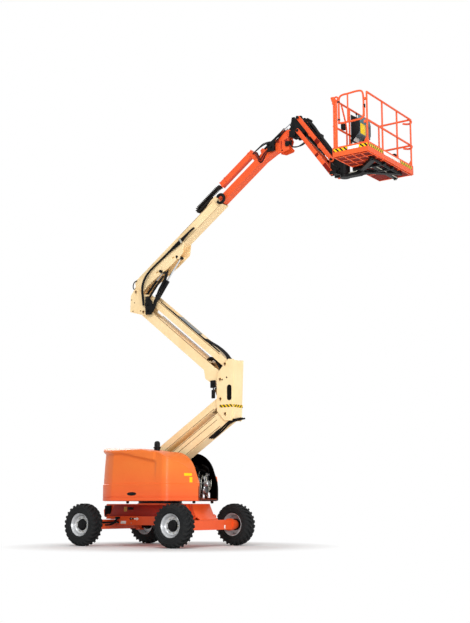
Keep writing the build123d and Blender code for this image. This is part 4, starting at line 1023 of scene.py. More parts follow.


# tower: pin heads, painted shade along seams and in holes and the slot, the warning stripe and the hoses at the
# knees
towerLook = {
    "plate": 0.172, "arm": 0.143, "pinHead": 0.034, "smallPinHead": 0.025, "seam": "seamBrown",
    "stripeLow": 2.69, "stripeHigh": 2.745, "stripeBack": 1.60, "tapeThick": 0.0015, "tapeMm": 42,
    "midHoles": [(1.769, 3.277), (1.66, 3.24), (1.618, 2.868)], "midHole": 0.017,
    "upperHoles": [(-0.70, 5.09), (-0.62, 5.02), (-0.45, 4.83), (-0.66, 4.84)], "upperHole": 0.013,
    "slotMiddle": (1.830, 2.976), "slotRadius": 0.055, "slotHalf": 0.100,
    "coverSpan": (0.98, 1.62), "edgeSpan": (0.70, 2.05),
    "coverHoses": [(0.012, (0.32, -0.085, -0.10), (0.60, -0.095, -0.11), (0.95, -0.09, -0.12)),
                   (0.009, (1.62, -0.09, -0.10), (1.95, -0.085, -0.10), (2.2, -0.08, -0.11))],
    "bracket": [(1.468, 3.075), (1.50, 2.985), (1.639, 2.930), (1.56, 2.975)],
    "valves": [((1.370, -0.180, 3.09), (1.490, -0.149, 3.24), 0.010),
               ((1.400, -0.180, 2.88), (1.480, -0.149, 3.05), 0.010)],
    "coil": [((1.43, -0.180, 3.17), (1.43, -0.200, 3.17), 0.026, 20, 0.003)],
    "valveHose": [(0.014, (1.44, -0.165, 2.90), (1.445, -0.165, 3.0), (1.44, -0.165, 3.10))]}


def pinHead(place, side, out, radius=None, kept=True):
    radius = radius or towerLook["pinHead"]
    start = Vector((place.x, side * out, place.z))
    head = addLathe([(0, -0.004), (radius, -0.004), (radius, 0.004), (radius - 0.004, 0.007), (0, 0.007)],
                    (0, 0, 0), "Y", 28)
    head.data.transform(Matrix.Translation(start) @ Matrix.Scale(side, 4, Vector((0, 1, 0))))
    fixNormals(head)
    if not kept:
        return [head]
    keeper = addBox(start + Vector((-0.006, -0.006 if side < 0 else 0.0, -radius - 0.016)),
                    start + Vector((0.006, 0.0 if side < 0 else 0.006, -radius - 0.002)), 0.001)
    return [head, keeper]


pinBodies = {"turntable": [pin("tower_lift"), pin("lower_link_swing")],
             "mid_upright": [armKnee, pin("mid_upright_level")
                             + (pin("lower_link_swing") - pin("tower_lift")), upperKnee,
                             pin("upper_link_swing")],
             "upper_upright": [pin("upper_upright_level"),
                               pin("upper_upright_level") + (pin("upper_link_swing") - upperKnee),
                               pin("boom_lift")]}
for body, places in pinBodies.items():
    low = body == "turntable"
    heads = []
    for place in places:
        for side in (-1, 1):
            heads += pinHead(place, side, towerLook["plate"] + (0.012 if low else 0.0145),
                             None if low else towerLook["smallPinHead"])
    trim("pinHeads." + body, heads, body, "zincPlate" if low else "seamBrown")
plate = towerLook["plate"]
# painted shade: dark discs at the holes in the uprights' plates
dots = [addRod((x, side * (plate + 0.003), z), (x, side * plate, z), towerLook["midHole"], 20, 0.0008)
        for x, z in towerLook["midHoles"] for side in (-1, 1)]
trim("uprightHoles.mid", dots, "mid_upright", "darkLiningAndHoleShade")
dots = [addRod((x, -plate - 0.003, z), (x, -plate, z), towerLook["upperHole"], 20, 0.0008)
        for x, z in towerLook["upperHoles"]]
trim("uprightHoles.upper", dots, "upper_upright", "seamBrown")
# painted shade: a flat dark plate in the outline of the upright's slot
(x, z), radius = towerLook["slotMiddle"], towerLook["slotRadius"]
outline = []
for n in range(24):
    turn = 2 * math.pi * n / 24
    end = towerLook["slotHalf"] if math.sin(turn) > 0 else -towerLook["slotHalf"]
    outline.append((x + radius * math.cos(turn), z + radius * math.sin(turn) + end))
slot = [addPlate(atY(outline, side * (plate + 0.0015)), (0, side * 0.001, 0), 0) for side in (-1, 1)]
trim("uprightSlot", slot, "mid_upright", "darkLiningAndHoleShade")


def webX(z):
    # the outer face of the upright's back web at a height
    foot, head = armKnee + Vector((0.168, 0, -0.100)), pin("upper_link_swing") + Vector((0.197, 0, 0.067))
    return foot.x + (head.x - foot.x) * (z - foot.z) / (head.z - foot.z)


low, high, thick = towerLook["stripeLow"], towerLook["stripeHigh"], towerLook["tapeThick"]
tape = []
for side in (-1, 1):
    inner, outer = sorted((side * (plate + 0.001), side * (plate + 0.001 + thick)))
    tape.append(addBox((towerLook["stripeBack"], inner, low), (webX(low) - 0.004, outer, high), 0.0004))
dress(joinAll("uprightStripes", tape), "mid_upright",
      makeStripes("uprightTape", (1, 0, 1), towerLook["tapeMm"]))
webTape = addPlate([(webX(low), -0.150, low), (webX(low), 0.150, low), (webX(high), 0.150, high),
                    (webX(high), -0.150, high)], (thick, 0, 0), 0)
dress(joinAll("uprightStripes.web", [webTape]), "mid_upright",
      makeStripes("webTape", (0, 1, -1), towerLook["tapeMm"]))


def seams(name, body, at, length, lifts, across, start=0.25, width=0.005):
    # thin dark lines along both sides of an arm: painted shade along its edges and seams
    lines = [addPlate(sideStrip(at, (start, length - start), (lift - width, lift + width), side * across),
                      (0, side * 0.0015, 0), 0) for lift in lifts for side in (-1, 1)]
    trim(name, lines, body, towerLook["seam"])


armLength = (armKnee - pin("tower_lift")).length
upperLength = (pin("upper_upright_level") - upperKnee).length
seams("seams.lowerArm", "lower_arm", onLowerArm, armLength, (-0.118, 0.118, 0.03), towerLook["arm"])
seams("seams.lowerLink", "lower_link", onLowerLink, armLength, (-0.06,), towerLook["arm"])
seams("seams.upperArm", "upper_arm", onUpperArm, upperLength, (-0.104,), towerLook["arm"])
seams("seams.upperLink", "upper_link", onUpperLink, upperLength, (-0.062,), towerLook["arm"])
square = onUpperLink.square
trim("coverStrip", [addPlate(flatStrip(onUpperLink, towerLook["coverSpan"], -0.078, (-0.10, 0.02)),
                             -square * 0.028, 0.006)], "upper_link", "greyCover")
edge = addPlate(flatStrip(onUpperLink, towerLook["edgeSpan"], -0.076, (-0.135, -0.105)), -square * 0.012,
                0.003)
trim("coverEdge", [edge] + hoses(towerLook["coverHoses"], lambda place: onUpperLink(*place)),
     "upper_link", "hoseRubber")


def kneeHose(name, points, radius):
    # a hose that bridges one joint, left free of both bodies
    piece = joinAll(name, [addHose(points, radius)])
    piece.data.materials.clear()
    piece.data.materials.append(finish["hoseRubber"])
    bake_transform(piece)


for n, y in enumerate((-0.12, -0.07, -0.02)):
    route = [(1.80 + 0.02 * n, 3.60), (1.76, 3.66), (1.70, 3.745), (1.59, 3.845), (1.45, 3.945), (1.31, 4.02),
             (1.18, 4.10)]
    kneeHose(f"kneeHose.upper.{n}", atY(route, y), 0.016)
for n, y in enumerate((-0.09, -0.03, 0.04)):
    route = [(1.62, 3.40), (1.55, 3.47), (1.47 - 0.02 * n, 3.60 + 0.015 * n), (1.38, 3.70), (1.30, 3.715),
             (1.22, 3.66), (1.20, 3.60)]
    kneeHose(f"kneeHose.belly.{n}", atY(route, y), 0.018)
for n, y in enumerate((-0.10, -0.04, 0.03)):
    route = [(1.56 + 0.02 * n, 2.31), (1.67, 2.38), (1.80, 2.43), (1.95, 2.455), (2.06, 2.47)]
    kneeHose(f"kneeHose.lower.{n}",
             [onLowerArm(armLength - 0.62, -0.15, y), onLowerArm(armLength - 0.45, -0.158, y)]
             + atY(route, y), 0.017)
trim("kneeBracket", [addPlate(atY(towerLook["bracket"], -0.149), (0, -0.012, 0), 0.001)], "mid_upright",
     "seamBrown")
trim("kneeValves", boxes(towerLook["valves"]) + rods(towerLook["coil"]) + hoses(towerLook["valveHose"]),
     "mid_upright", "blackPowderCoat")
print("tower trim built")


# boom: hoses along its side, the loop at its mouth, pins, lugs and the power track
boomLook = {"hoseRadius": 0.015, "trackReach": 2.13, "trackTurn": 0.046, "trackMiddle": 0.398,
            "linkPitch": 0.036, "halfWidth": 0.118, "lineY": 0.1185, "lineHalf": 0.0035, "lineThick": 0.0012,
            "pinRadius": 0.030, "lines": (((1.55, 0.232), (2.55, 0.232)), ((0.5, 0.040), (2.58, 0.040)),
            ((2.60, 0.045), (2.60, 0.225))), "sideLugs": ((0.3, 1.4), (2.60, 2.695)),
            "pins": ((0.468, 5.884), (0.071, 5.616)), "pinY": 0.132,
            "marks": ((0.372, 5.868), (-0.044, 5.606)), "mouth": (1.616, -0.182, 6.930), "loopRadius": 0.088,
            "sleeveRadius": 0.060, "padAt": 2.695, "padHalf": 0.075,
            "padLifts": ((0.212, 0.236), (0.034, 0.050))}
for n in range(4):
    y = -0.150 - 0.015 * (n % 2)
    drop = 0.013 * n
    kneeHose(f"boomHose.{n}",
             [(-0.36 + drop * 0.6, y - 0.045, 4.93), (-0.385 + drop, y - 0.045, 5.08),
              (-0.415 + drop, y - 0.05, 5.29), (-0.37 + drop, y - 0.05, 5.46), (-0.27 + drop, y - 0.03, 5.62),
              (-0.11, y, 5.755 - drop * 0.4), (0.10, y, 5.888 - drop * 0.4), (0.315, y, 6.045 - drop),
              (0.46, y, 6.155 - drop * 2), (0.585, y, 6.235 - drop * 2), (0.69, y, 6.30 - drop * 1.4),
              (0.83, y, 6.388 - drop * 0.4), (0.93, y, 6.43)], boomLook["hoseRadius"])
clip = addPlate([(0.545, -0.148, 6.235), (0.578, -0.148, 6.258), (0.640, -0.148, 6.165),
                 (0.607, -0.148, 6.142)], (0, -0.036, 0), 0.004)
trim("hoseClip", [clip, addRod((0.592, -0.188, 6.198), (0.592, -0.182, 6.198), 0.011, 6, 0.001)],
     "boom_base", "zincPlate")
lugs = [addPlate([onBoom(1.74, 0.238, -0.05), onBoom(1.66, 0.238, -0.05), onBoom(1.69, 0.275, -0.05),
                  onBoom(1.755, 0.262, -0.05)], (0, -0.02, 0), 0.003)]
for span in boomLook["sideLugs"]:
    for side in (-1, 1):
        lugs.append(addPlate(sideStrip(onBoom, span, (0.05, 0.22), side * boomLook["halfWidth"]),
                             (0, side * 0.005, 0), 0.002))
trim("boomLugs", lugs, "boom_base", "creamPowderCoat")
# painted shade: thin dark lines along the boom's edges and seams
lines = []
for side in (-1, 1):
    y = side * boomLook["lineY"]
    for start, end in boomLook["lines"]:
        a, b = onBoom(*start, y), onBoom(*end, y)
        tilt = Vector((-(b - a).z, 0, (b - a).x)).normalized() * boomLook["lineHalf"]
        lines.append(addPlate([a - tilt, b - tilt, b + tilt, a + tilt], (0, side * boomLook["lineThick"], 0),
                              0))
trim("seams.boom", lines, "boom_base", "seamBrown")
crossPins = []
for x, z in boomLook["pins"]:
    for side in (-1, 1):
        crossPins += pinHead(Vector((x, 0, z)), side, boomLook["pinY"], boomLook["pinRadius"])
trim("pinHeads.boom", crossPins, "boom_base", "blackPowderCoat")
lugDots = [addPlate([(x - 0.03, side * 0.1325, z + 0.012), (x + 0.024, side * 0.1325, z + 0.03),
                     (x + 0.034, side * 0.1325, z + 0.008), (x - 0.02, side * 0.1325, z - 0.012)],
                    (0, side * 0.002, 0), 0.0005) for x, z in boomLook["marks"] for side in (-1, 1)]
trim("lugMarks", lugDots, "boom_base", "tanPlate")
cluster = [addRod((-0.335, -0.10, 4.93), (-0.30, -0.10, 5.10), 0.036, 24, 0.004),
           addRod((-0.30, -0.115, 4.80), (-0.22, -0.115, 4.90), 0.030, 20, 0.004)]
outline = [(-0.29, 4.726), (-0.14, 4.716), (-0.105, 4.86), (-0.13, 5.00), (-0.20, 5.09), (-0.305, 5.12),
           (-0.315, 4.94)]
cluster.append(addPlate(atY(outline, -0.178), (0, -0.030, 0), 0.010))
for x, z in ((-0.235, 4.80), (-0.245, 4.93), (-0.20, 5.06)):
    cluster.append(addRod((x, -0.205, z), (x, -0.236, z), 0.022, 20, 0.003))
trim("valveCluster", cluster, "upper_upright", "blackPowderCoat")
trim("manifoldHoses", [addHose([(-0.19 + 0.035 * n, -0.19 - 0.008 * n, 4.74 + 0.01 * n),
                                (-0.15 + 0.035 * n, -0.19 - 0.008 * n, 4.80),
                                (-0.10 + 0.035 * n, -0.19 - 0.008 * n, 4.90),
                                (-0.07 + 0.035 * n, -0.19 - 0.006 * n, 4.99),
                                (-0.03 + 0.035 * n, -0.175 - 0.006 * n, 5.07),
                                (-0.05 + 0.04 * n, -0.15, 5.13)], 0.017) for n in range(3)], "upper_upright",
     "hoseRubber")
for n in range(2):
    y = -0.196 - 0.008 * n
    kneeHose(f"manifoldBranch.{n}",
             [(-0.28 + 0.03 * n, y, 4.86), (-0.26 + 0.03 * n, y, 4.99), (-0.205 + 0.03 * n, y, 5.09),
              (-0.12 + 0.03 * n, y, 5.19), (-0.04 + 0.03 * n, y + 0.02, 5.31),
              (0.02 + 0.03 * n, y + 0.06, 5.42), (0.08 + 0.03 * n, y + 0.09, 5.52)], 0.016)
for n, y in enumerate((-0.128, -0.100, -0.072)):
    kneeHose(f"liftHose.{n}",
             [(-0.30, y, 4.86 + 0.05 * n), (-0.22, y, 4.80 + 0.04 * n), (-0.13 + 0.01 * n, y, 4.86),
              (-0.09 + 0.02 * n, y, 5.02), (-0.03 + 0.02 * n, y, 5.20), (0.06, y, 5.34 + 0.02 * n),
              (0.14, y, 5.44), (0.16, y, 5.52), (0.20, y, 5.60 + 0.03 * n)], 0.013)
trim("tailLoop", [addHose([(-0.60, -0.125, 5.50), (-0.66, -0.13, 5.49), (-0.70, -0.13, 5.43),
                           (-0.705, -0.13, 5.36), (-0.675, -0.128, 5.31), (-0.63, -0.125, 5.33)], 0.011)],
     "boom_base", "hoseRubber")
mouth, loopRadius, sleeveRadius = Vector(boomLook["mouth"]), boomLook["loopRadius"], boomLook["sleeveRadius"]
turns = [math.radians(158 - 19 * n) for n in range(17)]
trim("mouthLoop", [addHose([mouth + Vector((loopRadius * math.cos(t), 0, loopRadius * math.sin(t)))
                            for t in turns], 0.031)], "boom_base", "hoseRubber")
trim("mouthLoopSleeve", [addHose([mouth
                                  + Vector((sleeveRadius * math.cos(t), 0.008, sleeveRadius * math.sin(t)))
                                  for t in turns[5:14]], 0.012)], "boom_base", "shadeAndPartsRed")
pads = [addPlate(endStrip(onBoom, boomLook["padAt"], lifts, boomLook["padHalf"]), onBoom.heading * 0.014,
                 0.002) for lifts in boomLook["padLifts"]]
trim("wearPads", pads, "boom_base", "nylonTrack")
# the boom's two visible ram rods: thin bright rods with a black cross tube at the eye
eyeHalf = 0.105
for name, eye, radius in zip(("lift_ram", "level_ram"), boomLook["pins"], (0.018, 0.011)):
    place = Vector((eye[0], rams[name](0).y, eye[1]))
    rodBox = [Vector(end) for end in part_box(name + "_rod")]
    along = (place - rams[name](0)).dot(rams[name].heading)
    reachBack = (rodBox[1] - rodBox[0]).length * 0.9
    rod = addLathe([(0, 0), (radius, 0), (radius, reachBack), (0, reachBack)], (0, 0, 0), "Z", 32, 0.001)
    turn = rams[name].heading.to_track_quat("Z", "Y").to_matrix().to_4x4()
    rod.data.transform(Matrix.Translation(rams[name](along - reachBack)) @ turn)
    rodBody = joints[name + "_stroke"]["child"]
    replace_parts(trim("rodModel." + name, [rod], rodBody, "chromedRod"), name + "_rod")
    profile = [(0, -eyeHalf), (0.030, -eyeHalf), (0.030, -0.04), (0.036, -0.036), (0.036, 0.036),
               (0.030, 0.04), (0.030, eyeHalf), (0, eyeHalf)]
    eyeTube = addLathe(profile, place, "Y", 36, 0.002)
    trim("rodEye." + name, [eyeTube], rodBody, "blackPowderCoat")

reach, turn, mid = boomLook["trackReach"], boomLook["trackTurn"], boomLook["trackMiddle"]
route = [(reach + turn + 0.40 - 0.02 * n, mid - turn) for n in range(21)]
route += [(reach + turn - turn * math.sin(math.pi * n / 12), mid - turn * math.cos(math.pi * n / 12))
          for n in range(1, 12)]
route += [(reach + turn + 0.02 * n, mid + turn) for n in range(30)]
route += [(reach + turn + 0.60 + 0.02 * n, mid + turn - 0.006 * n) for n in range(5)]
placesOnTrack = spread(route, int(sum(math.dist(a, b)
                                  for a, b in zip(route, route[1:])) / boomLook["linkPitch"]))
links = []
seed = addBox((-0.014, -0.055, -0.022), (0.014, 0.055, 0.022), 0.004)
rib = addBox((-0.010, -0.061, -0.028), (0.010, 0.061, 0.028), 0.003)
seed = joinAll("link", [seed, rib])
for a, b in zip(placesOnTrack, placesOnTrack[1:]):
    heading = Vector((b[0] - a[0], 0, b[1] - a[1])).normalized()
    facing = onBoom.heading * heading.x + onBoom.square * heading.z
    square = Vector((-facing.z, 0, facing.x))
    frameMatrix = Matrix(((facing.x, 0, square.x), (0, 1, 0), (facing.z, 0, square.z))).to_4x4()
    twin = copyOf(seed, "link")
    twin.data.transform(Matrix.Translation(onBoom((a[0] + b[0]) / 2, (a[1] + b[1]) / 2)) @ frameMatrix)
    links.append(twin)
bpy.data.objects.remove(seed)
track = joinAll("powerTrack", links)
track.data.materials.clear()
track.data.materials.append(finish["nylonTrack"])
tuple(onBoom(2.3, mid - turn * 0.8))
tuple(onBoom(2.3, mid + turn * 0.8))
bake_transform(track)
trough = [addPlate([onBoom(2.22, 0.236, y), onBoom(2.66, 0.236, y), onBoom(2.66, 0.318, y),
                    onBoom(2.52, 0.318, y), onBoom(2.22, 0.25, y)], (0, 0.004, 0), 0.001)
          for y in (-0.066, 0.062)]
trim("trackTrough", trough, "boom_base", "creamPowderCoat")
trim("topLine", [addHose([onBoom(1.76, 0.246, -0.08), onBoom(1.95, 0.262, -0.07), onBoom(2.15, 0.25, -0.06)],
                         0.006)], "boom_base", "hoseRubber")
print("boom trim built")

# fly: hose loops, the nose plates and what hangs from the bracket
flyLook = {"side": 0.094, "cheek": 0.012, "caps": (2.884, 3.834), "straps": (3.02, 3.74),
           "screws": (3.035, 3.755), "outline": [(2.905, 7.70), (3.03, 7.655), (3.20, 7.685), (3.222, 7.72),
           (3.165, 7.79), (3.205, 7.90), (3.12, 8.115), (3.06, 8.10), (2.975, 7.965), (2.95, 7.86),
           (2.90, 7.80)],
           "shade": [[(2.985, 7.97), (3.00, 7.955), (3.115, 8.075), (3.10, 8.09)],
                     [(2.955, 7.93), (2.995, 7.92), (2.99, 7.865), (2.95, 7.875)],
                     [(3.03, 7.90), (3.05, 7.90), (3.045, 7.74), (3.025, 7.74)],
                     [(3.10, 7.90), (3.185, 7.93), (3.18, 7.86), (3.12, 7.86)]], "hole": (3.055, 7.70),
           "holeRadius": 0.017}
flySide, cheek = flyLook["side"], flyLook["cheek"]
caps = [addPlate(endStrip(onBoom, s, (0.352, 0.488), 0.056), onBoom.heading * 0.012, 0.002)
        for s in flyLook["caps"]]
for s in flyLook["straps"]:
    caps.append(addPlate(sideStrip(onBoom, (s, s + 0.03), (0.353, 0.487), -0.0505), (0, -0.004, 0), 0.001))
trim("tubeFittings", caps, "boom_fly", "orangePowderCoat")
dots = [addRod(onBoom(s, n, -0.0545), onBoom(s, n, -0.0595), 0.007, 6, 0.0008)
        for s in flyLook["screws"] for n in (0.375, 0.465)]
trim("tubeScrews", dots, "boom_fly", "shadeAndPartsRed")
wires = []
for n in range(4):
    y = -0.045 + 0.03 * n
    rise = 0.035 * n
    wires.append(addHose([onBoom(3.80, 0.40 + 0.018 * n, y), (2.42, y, 7.83 + rise), (2.50, y, 7.885 + rise),
                          (2.63, y, 7.93 + rise * 0.7), (2.80, y, 7.935 + rise * 0.5),
                          (2.97, y, 7.99 + rise * 0.3), (3.09, y, 8.09 + rise * 0.2), (3.15, y, 8.15)],
                         0.0055))
trim("noseWires", wires, "boom_fly", "hoseRubber")
loops = []
for n in range(3):
    y = -flySide - 0.016 - 0.012 * n
    inset = 0.030 * n
    loops.append(addHose([onBoom(3.82, 0.375, -0.04), (2.375 + inset, y * 0.7, 7.80),
                          (2.455 + inset * 0.8, y, 7.72 - inset * 0.1),
                          (2.500 + inset * 0.6, y, 7.60 + inset * 0.4), (2.545, y, 7.532 + inset),
                          (2.605 - inset * 0.5, y, 7.56 + inset * 0.7), (2.655 - inset * 0.6, y, 7.68),
                          (2.72 - inset * 0.3, y, 7.755), (2.80, y * 0.9, 7.80)], 0.011))
trim("noseLoops.black", loops[:1] + loops[2:], "boom_fly", "hoseRubber")
trim("noseLoops.red", [loops[1]], "boom_fly", "shadeAndPartsRed")
valves = [addBox((2.735, -0.165, 7.72), (2.90, -0.10, 7.90), 0.012),
          addRod((2.76, -0.165, 7.86), (2.76, -0.195, 7.86), 0.024, 20, 0.003),
          addRod((2.83, -0.165, 7.80), (2.83, -0.195, 7.80), 0.024, 20, 0.003),
          addRod((2.88, -0.15, 7.88), (2.93, -0.15, 7.95), 0.018, 16, 0.003),
          addHose([(2.88, -0.13, 7.86), (2.96, -0.125, 7.93), (3.06, -0.12, 8.04), (3.14, -0.115, 8.10)],
                  0.013),
          addHose([(2.86, -0.15, 7.90), (2.95, -0.14, 7.98), (3.05, -0.13, 8.08), (3.12, -0.12, 8.14)],
                  0.010), addBox((3.14, -0.14, 7.76), (3.235, -0.10, 7.86), 0.01)]
trim("noseValves", valves, "boom_fly", "blackPowderCoat")
cheeks = [addPlate(atY(flyLook["outline"], side * flySide), (0, side * cheek, 0), 0.003) for side in (-1, 1)]
trim("noseCheeks", cheeks, "boom_fly", "orangePowderCoat")
marks = [addPlate(atY(corners, side * (flySide + cheek)), (0, side * 0.003, 0), 0.001)
         for side in (-1, 1) for corners in flyLook["shade"]]
trim("noseShade", marks, "boom_fly", "shadeAndPartsRed")
# painted shade: dark discs at the holes in the nose cheeks
x, z = flyLook["hole"]
holes = [addRod((x, side * (flySide + cheek + 0.0015), z), (x, side * (flySide + cheek), z),
                flyLook["holeRadius"], 20, 0.0005) for side in (-1, 1)]
trim("noseHoles", holes, "boom_fly", "darkLiningAndHoleShade")
for n, y in enumerate((-0.09, -0.05)):
    kneeHose(f"bracketLoop.{n}",
             [(3.25, y, 7.88), (3.225, y, 7.82), (3.25, y, 7.755), (3.32, y, 7.715 + 0.02 * n),
              (3.41, y, 7.71 + 0.02 * n), (3.50, y, 7.74), (3.58, y, 7.79), (3.64, y, 7.79)], 0.011)
bracketBits = [addRod((3.40, -0.115, 7.87), (3.40, -0.155, 7.87), 0.026, 20, 0.003),
               addRod((3.31, -0.115, 7.92), (3.31, -0.150, 7.92), 0.020, 20, 0.003),
               addRod((3.27, -0.115, 8.17), (3.27, -0.14, 8.17), 0.016, 20, 0.003),
               addBox((3.23, -0.13, 7.93), (3.37, -0.10, 8.06), 0.01)]
for place in (pin("jib_lift"), pin("jib_low_link_swing")):
    bracketBits += pinHead(place, -1, 0.172, 0.030, False) + pinHead(place, 1, 0.172, 0.030, False)
trim("bracketFittings", bracketBits, "jib_bracket", "blackPowderCoat")
print("boom nose built")

# jib: shaded middles of the bars, hoses along the top and fittings at the end
jibLook = {"top": 0.132, "low": 0.167, "topInner": 0.106, "lowInner": 0.141, "half": 0.042, "depth": 0.040,
           "shadeTop": (0.647, 0.762), "shadeLowMiddle": (0.692, 0.752), "shadeLow": (0.979, 1.19),
           "lugsAt": (0.47, 0.82), "lugFoot": 0.05, "lugHead": 0.022, "pinY": 0.172, "pinRadius": 0.028,
           "bolts": 8, "boltCircle": 0.085}


def barBand(at, span, side, out):
    lifts = (-jibLook["depth"], jibLook["depth"])
    return addPlate(sideStrip(at, span, lifts, side * out), (0, side * 0.002, 0), 0.0005)


def jibBar(at, length, inner, outer, lugs):
    # a pair of round-ended flat bars with small lugs on the inner edge
    half = jibLook["half"]
    outline = [(half * math.cos(t), half * math.sin(t))
               for t in (math.radians(90 + 15 * n) for n in range(13))]
    outline += [(length + half * math.cos(t), half * math.sin(t))
                for t in (math.radians(-90 + 15 * n) for n in range(13))]
    foot, head = jibLook["lugFoot"], jibLook["lugHead"]
    pieces = []
    for side in (-1, 1):
        y, push = side * inner, side * (outer - inner)
        pieces.append(addPlate([at(s, lift, y) for s, lift in outline], (0, push, 0), 0.004))
        for s in jibLook["lugsAt"]:
            corners = [at(s - foot, 0, y), at(s + foot, 0, y), at(s + head, lugs, y), at(s - head, lugs, y)]
            pieces.append(addPlate(corners, (0, push * 0.9, 0), 0.003))
    return pieces


jibLength = jibHeading.length
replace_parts(trim("jibBars.top", jibBar(onJibTop, jibLength, jibLook["topInner"], jibLook["top"] - 0.001,
                 -0.058), "jib_top_link", "orangePowderCoat"), "jib_top_link")
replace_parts(trim("jibBars.low", jibBar(onJibLow, jibLength, jibLook["lowInner"], jibLook["low"] - 0.001,
                 0.052), "jib_low_link", "orangePowderCoat"), "jib_low_link")
# painted shade: dark red bands on the sides of the bars
trim("jibBands.top", [barBand(onJibTop, jibLook["shadeTop"], side, jibLook["top"]) for side in (-1, 1)],
     "jib_top_link", "darkShadeRed")
trim("jibBands.low", [barBand(onJibLow, jibLook[key], side, jibLook["low"]) for side in (-1, 1)
                      for key in ("shadeLowMiddle", "shadeLow")], "jib_low_link", "darkShadeRed")
runs = [addHose([onJibTop(0.15, 0.085, y), onJibTop(0.20, 0.118, y), onJibTop(0.55, 0.105 - 0.004 * n, y),
                 onJibTop(0.85, 0.095, y), onJibTop(1.05, 0.085, y), onJibTop(1.12, 0.06, y)], 0.017)
        for n, y in enumerate((-0.085, -0.045, -0.005, 0.035))]
runs.append(addRod(onJibTop(0.17, 0.12, -0.11), onJibTop(0.17, 0.12, 0.05), 0.028, 20, 0.004))
clampAt = onJibTop(0.60, 0.10, 0)
runs.append(addBox(clampAt - Vector((0.03, 0.11, 0.03)), clampAt + Vector((0.03, 0.06, 0.03)), 0.008))
trim("jibHoses", runs, "jib_top_link", "hoseRubber")
carrier = [addPlate(sideStrip(onJibTop, (0.12, 1.12), (0.045, 0.075), y), (0, 0.006, 0), 0.001)
           for y in (-0.095, 0.045)]
trim("jibCarrier", carrier, "jib_top_link", "blackPowderCoat")
ends = []
for place in (pin("jib_end_level"), pin("jib_end_level") + (pin("jib_low_link_swing") - pin("jib_lift"))):
    for side in (-1, 1):
        ends += pinHead(place, side, jibLook["pinY"], jibLook["pinRadius"], False)
rotator = pin("platform_rotate")
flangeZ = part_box("jib_end")[0][2]
for n in range(jibLook["bolts"]):
    t = 2 * math.pi * n / jibLook["bolts"]
    x, y = rotator.x + jibLook["boltCircle"] * math.cos(t), rotator.y + jibLook["boltCircle"] * math.sin(t)
    ends.append(addRod((x, y, flangeZ - 0.004), (x, y, flangeZ + 0.004), 0.010, 6, 0.001))
ends += [addRod((4.33, -0.10, z), (4.33, -0.145, z), 0.017, 16, 0.002) for z in (7.02, 7.10)]
ends.append(addHose([(4.33, -0.14, 7.10), (4.30, -0.165, 7.14), (4.24, -0.16, 7.18), (4.20, -0.14, 7.22)],
                    0.009))
trim("jibEndFittings", ends, "jib_end", "blackPowderCoat")
print("jib trim built")

# platform: tread floor, underside, warning tape, gate loop, console, foot switch and gussets
platformLook = {
    "near": -0.915, "front": 5.385, "tapeLow": 7.128, "tapeHigh": 7.188, "tapeThick": 0.0012, "tapeMm": 42,
    "sideTapes": ((4.672, 4.955), (5.20, 5.368)), "frontTapes": ((-0.90, -0.34), (0.37, 0.85)),
    "panelZ": 7.0385, "ribZ": 7.026, "ribHalf": 0.009, "ribEnd": -0.24, "inset": 0.02,
    "longRibs": (-0.86, -0.66, -0.46, -0.26, 0.42, 0.86), "crossRibs": (4.68, 4.86, 5.04, 5.20, 5.36),
    # low corner, high corner, edge
    "beams": [((4.66, y - 0.028, 6.975), (5.34, y + 0.028, 7.03), 0.005) for y in (0.16, -0.16)]
    + [((5.02, -0.24, 6.985), (5.10, 0.82, 7.03), 0.006)],
    # start, end, radius, sides, edge
    "lacing": [((4.72 + n * 0.105, -0.16, 7.0), (4.78 + n * 0.105, 0.16, 7.0), 0.009, 10, 0.001)
               for n in range(6)],
    "pivotCaps": [((5.06, -0.20, 6.965), (5.06, -0.20, 7.02), 0.035, 20, 0.004),
                  ((5.06, 0.78, 6.965), (5.06, 0.78, 7.02), 0.030, 20, 0.004)],
    "brightRods": [((5.12, -0.16, 6.995), (5.12, 0.74, 6.995), 0.011, 16, 0.001),
                   ((4.52, -0.06, 6.985), (4.70, -0.10, 6.985), 0.012, 16, 0.001),
                   ((5.06, -0.20, 6.958), (5.06, -0.20, 6.966), 0.017, 6, 0.001),
                   ((5.06, 0.78, 6.958), (5.06, 0.78, 6.966), 0.014, 6, 0.001),
                   ((4.74, -0.16, 6.966), (4.74, -0.16, 6.976), 0.014, 6, 0.001)]}
floorLow, floorHigh = (Vector(corner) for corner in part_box("platform_floor"))
tread = addBox(Vector((floorLow.x + 0.03, floorLow.y + 0.03, floorHigh.z - 0.001)),
               Vector((floorHigh.x - 0.03, floorHigh.y - 0.03, floorHigh.z + 0.003)), 0.0008)
dress(joinAll("treadSheet", [tread]), "platform", treadPlate)
inset, panelZ, ribZ, ribHalf = (platformLook[key] for key in ("inset", "panelZ", "ribZ", "ribHalf"))
left, near = floorLow.x + inset, floorLow.y + inset
right, far = floorHigh.x - inset, floorHigh.y - inset
# painted shade: the underside of the floor in dark red, where the orange lies in shadow
trim("underPanels", [addBox((left, near, panelZ - 0.003), (right, far, panelZ + 0.0005), 0)], "platform",
     "darkShadeRed")
ribs = [((left, y - ribHalf, ribZ), (right, y + ribHalf, panelZ), 0.002) for y in platformLook["longRibs"]]
ribs += [((x - ribHalf, near, ribZ), (x + ribHalf, platformLook["ribEnd"], panelZ), 0.002)
         for x in platformLook["crossRibs"]]
ribs.append(((5.342, platformLook["ribEnd"], ribZ), (5.36, far, panelZ), 0.002))
trim("underRibs", boxes(ribs), "platform", "orangePowderCoat")
trim("underBeams", boxes(platformLook["beams"]) + rods(platformLook["lacing"] + platformLook["pivotCaps"]),
     "platform", "blackPowderCoat")
trim("underRods", rods(platformLook["brightRods"]), "platform", "zincPlate")
low, high, thick = platformLook["tapeLow"], platformLook["tapeHigh"], platformLook["tapeThick"]
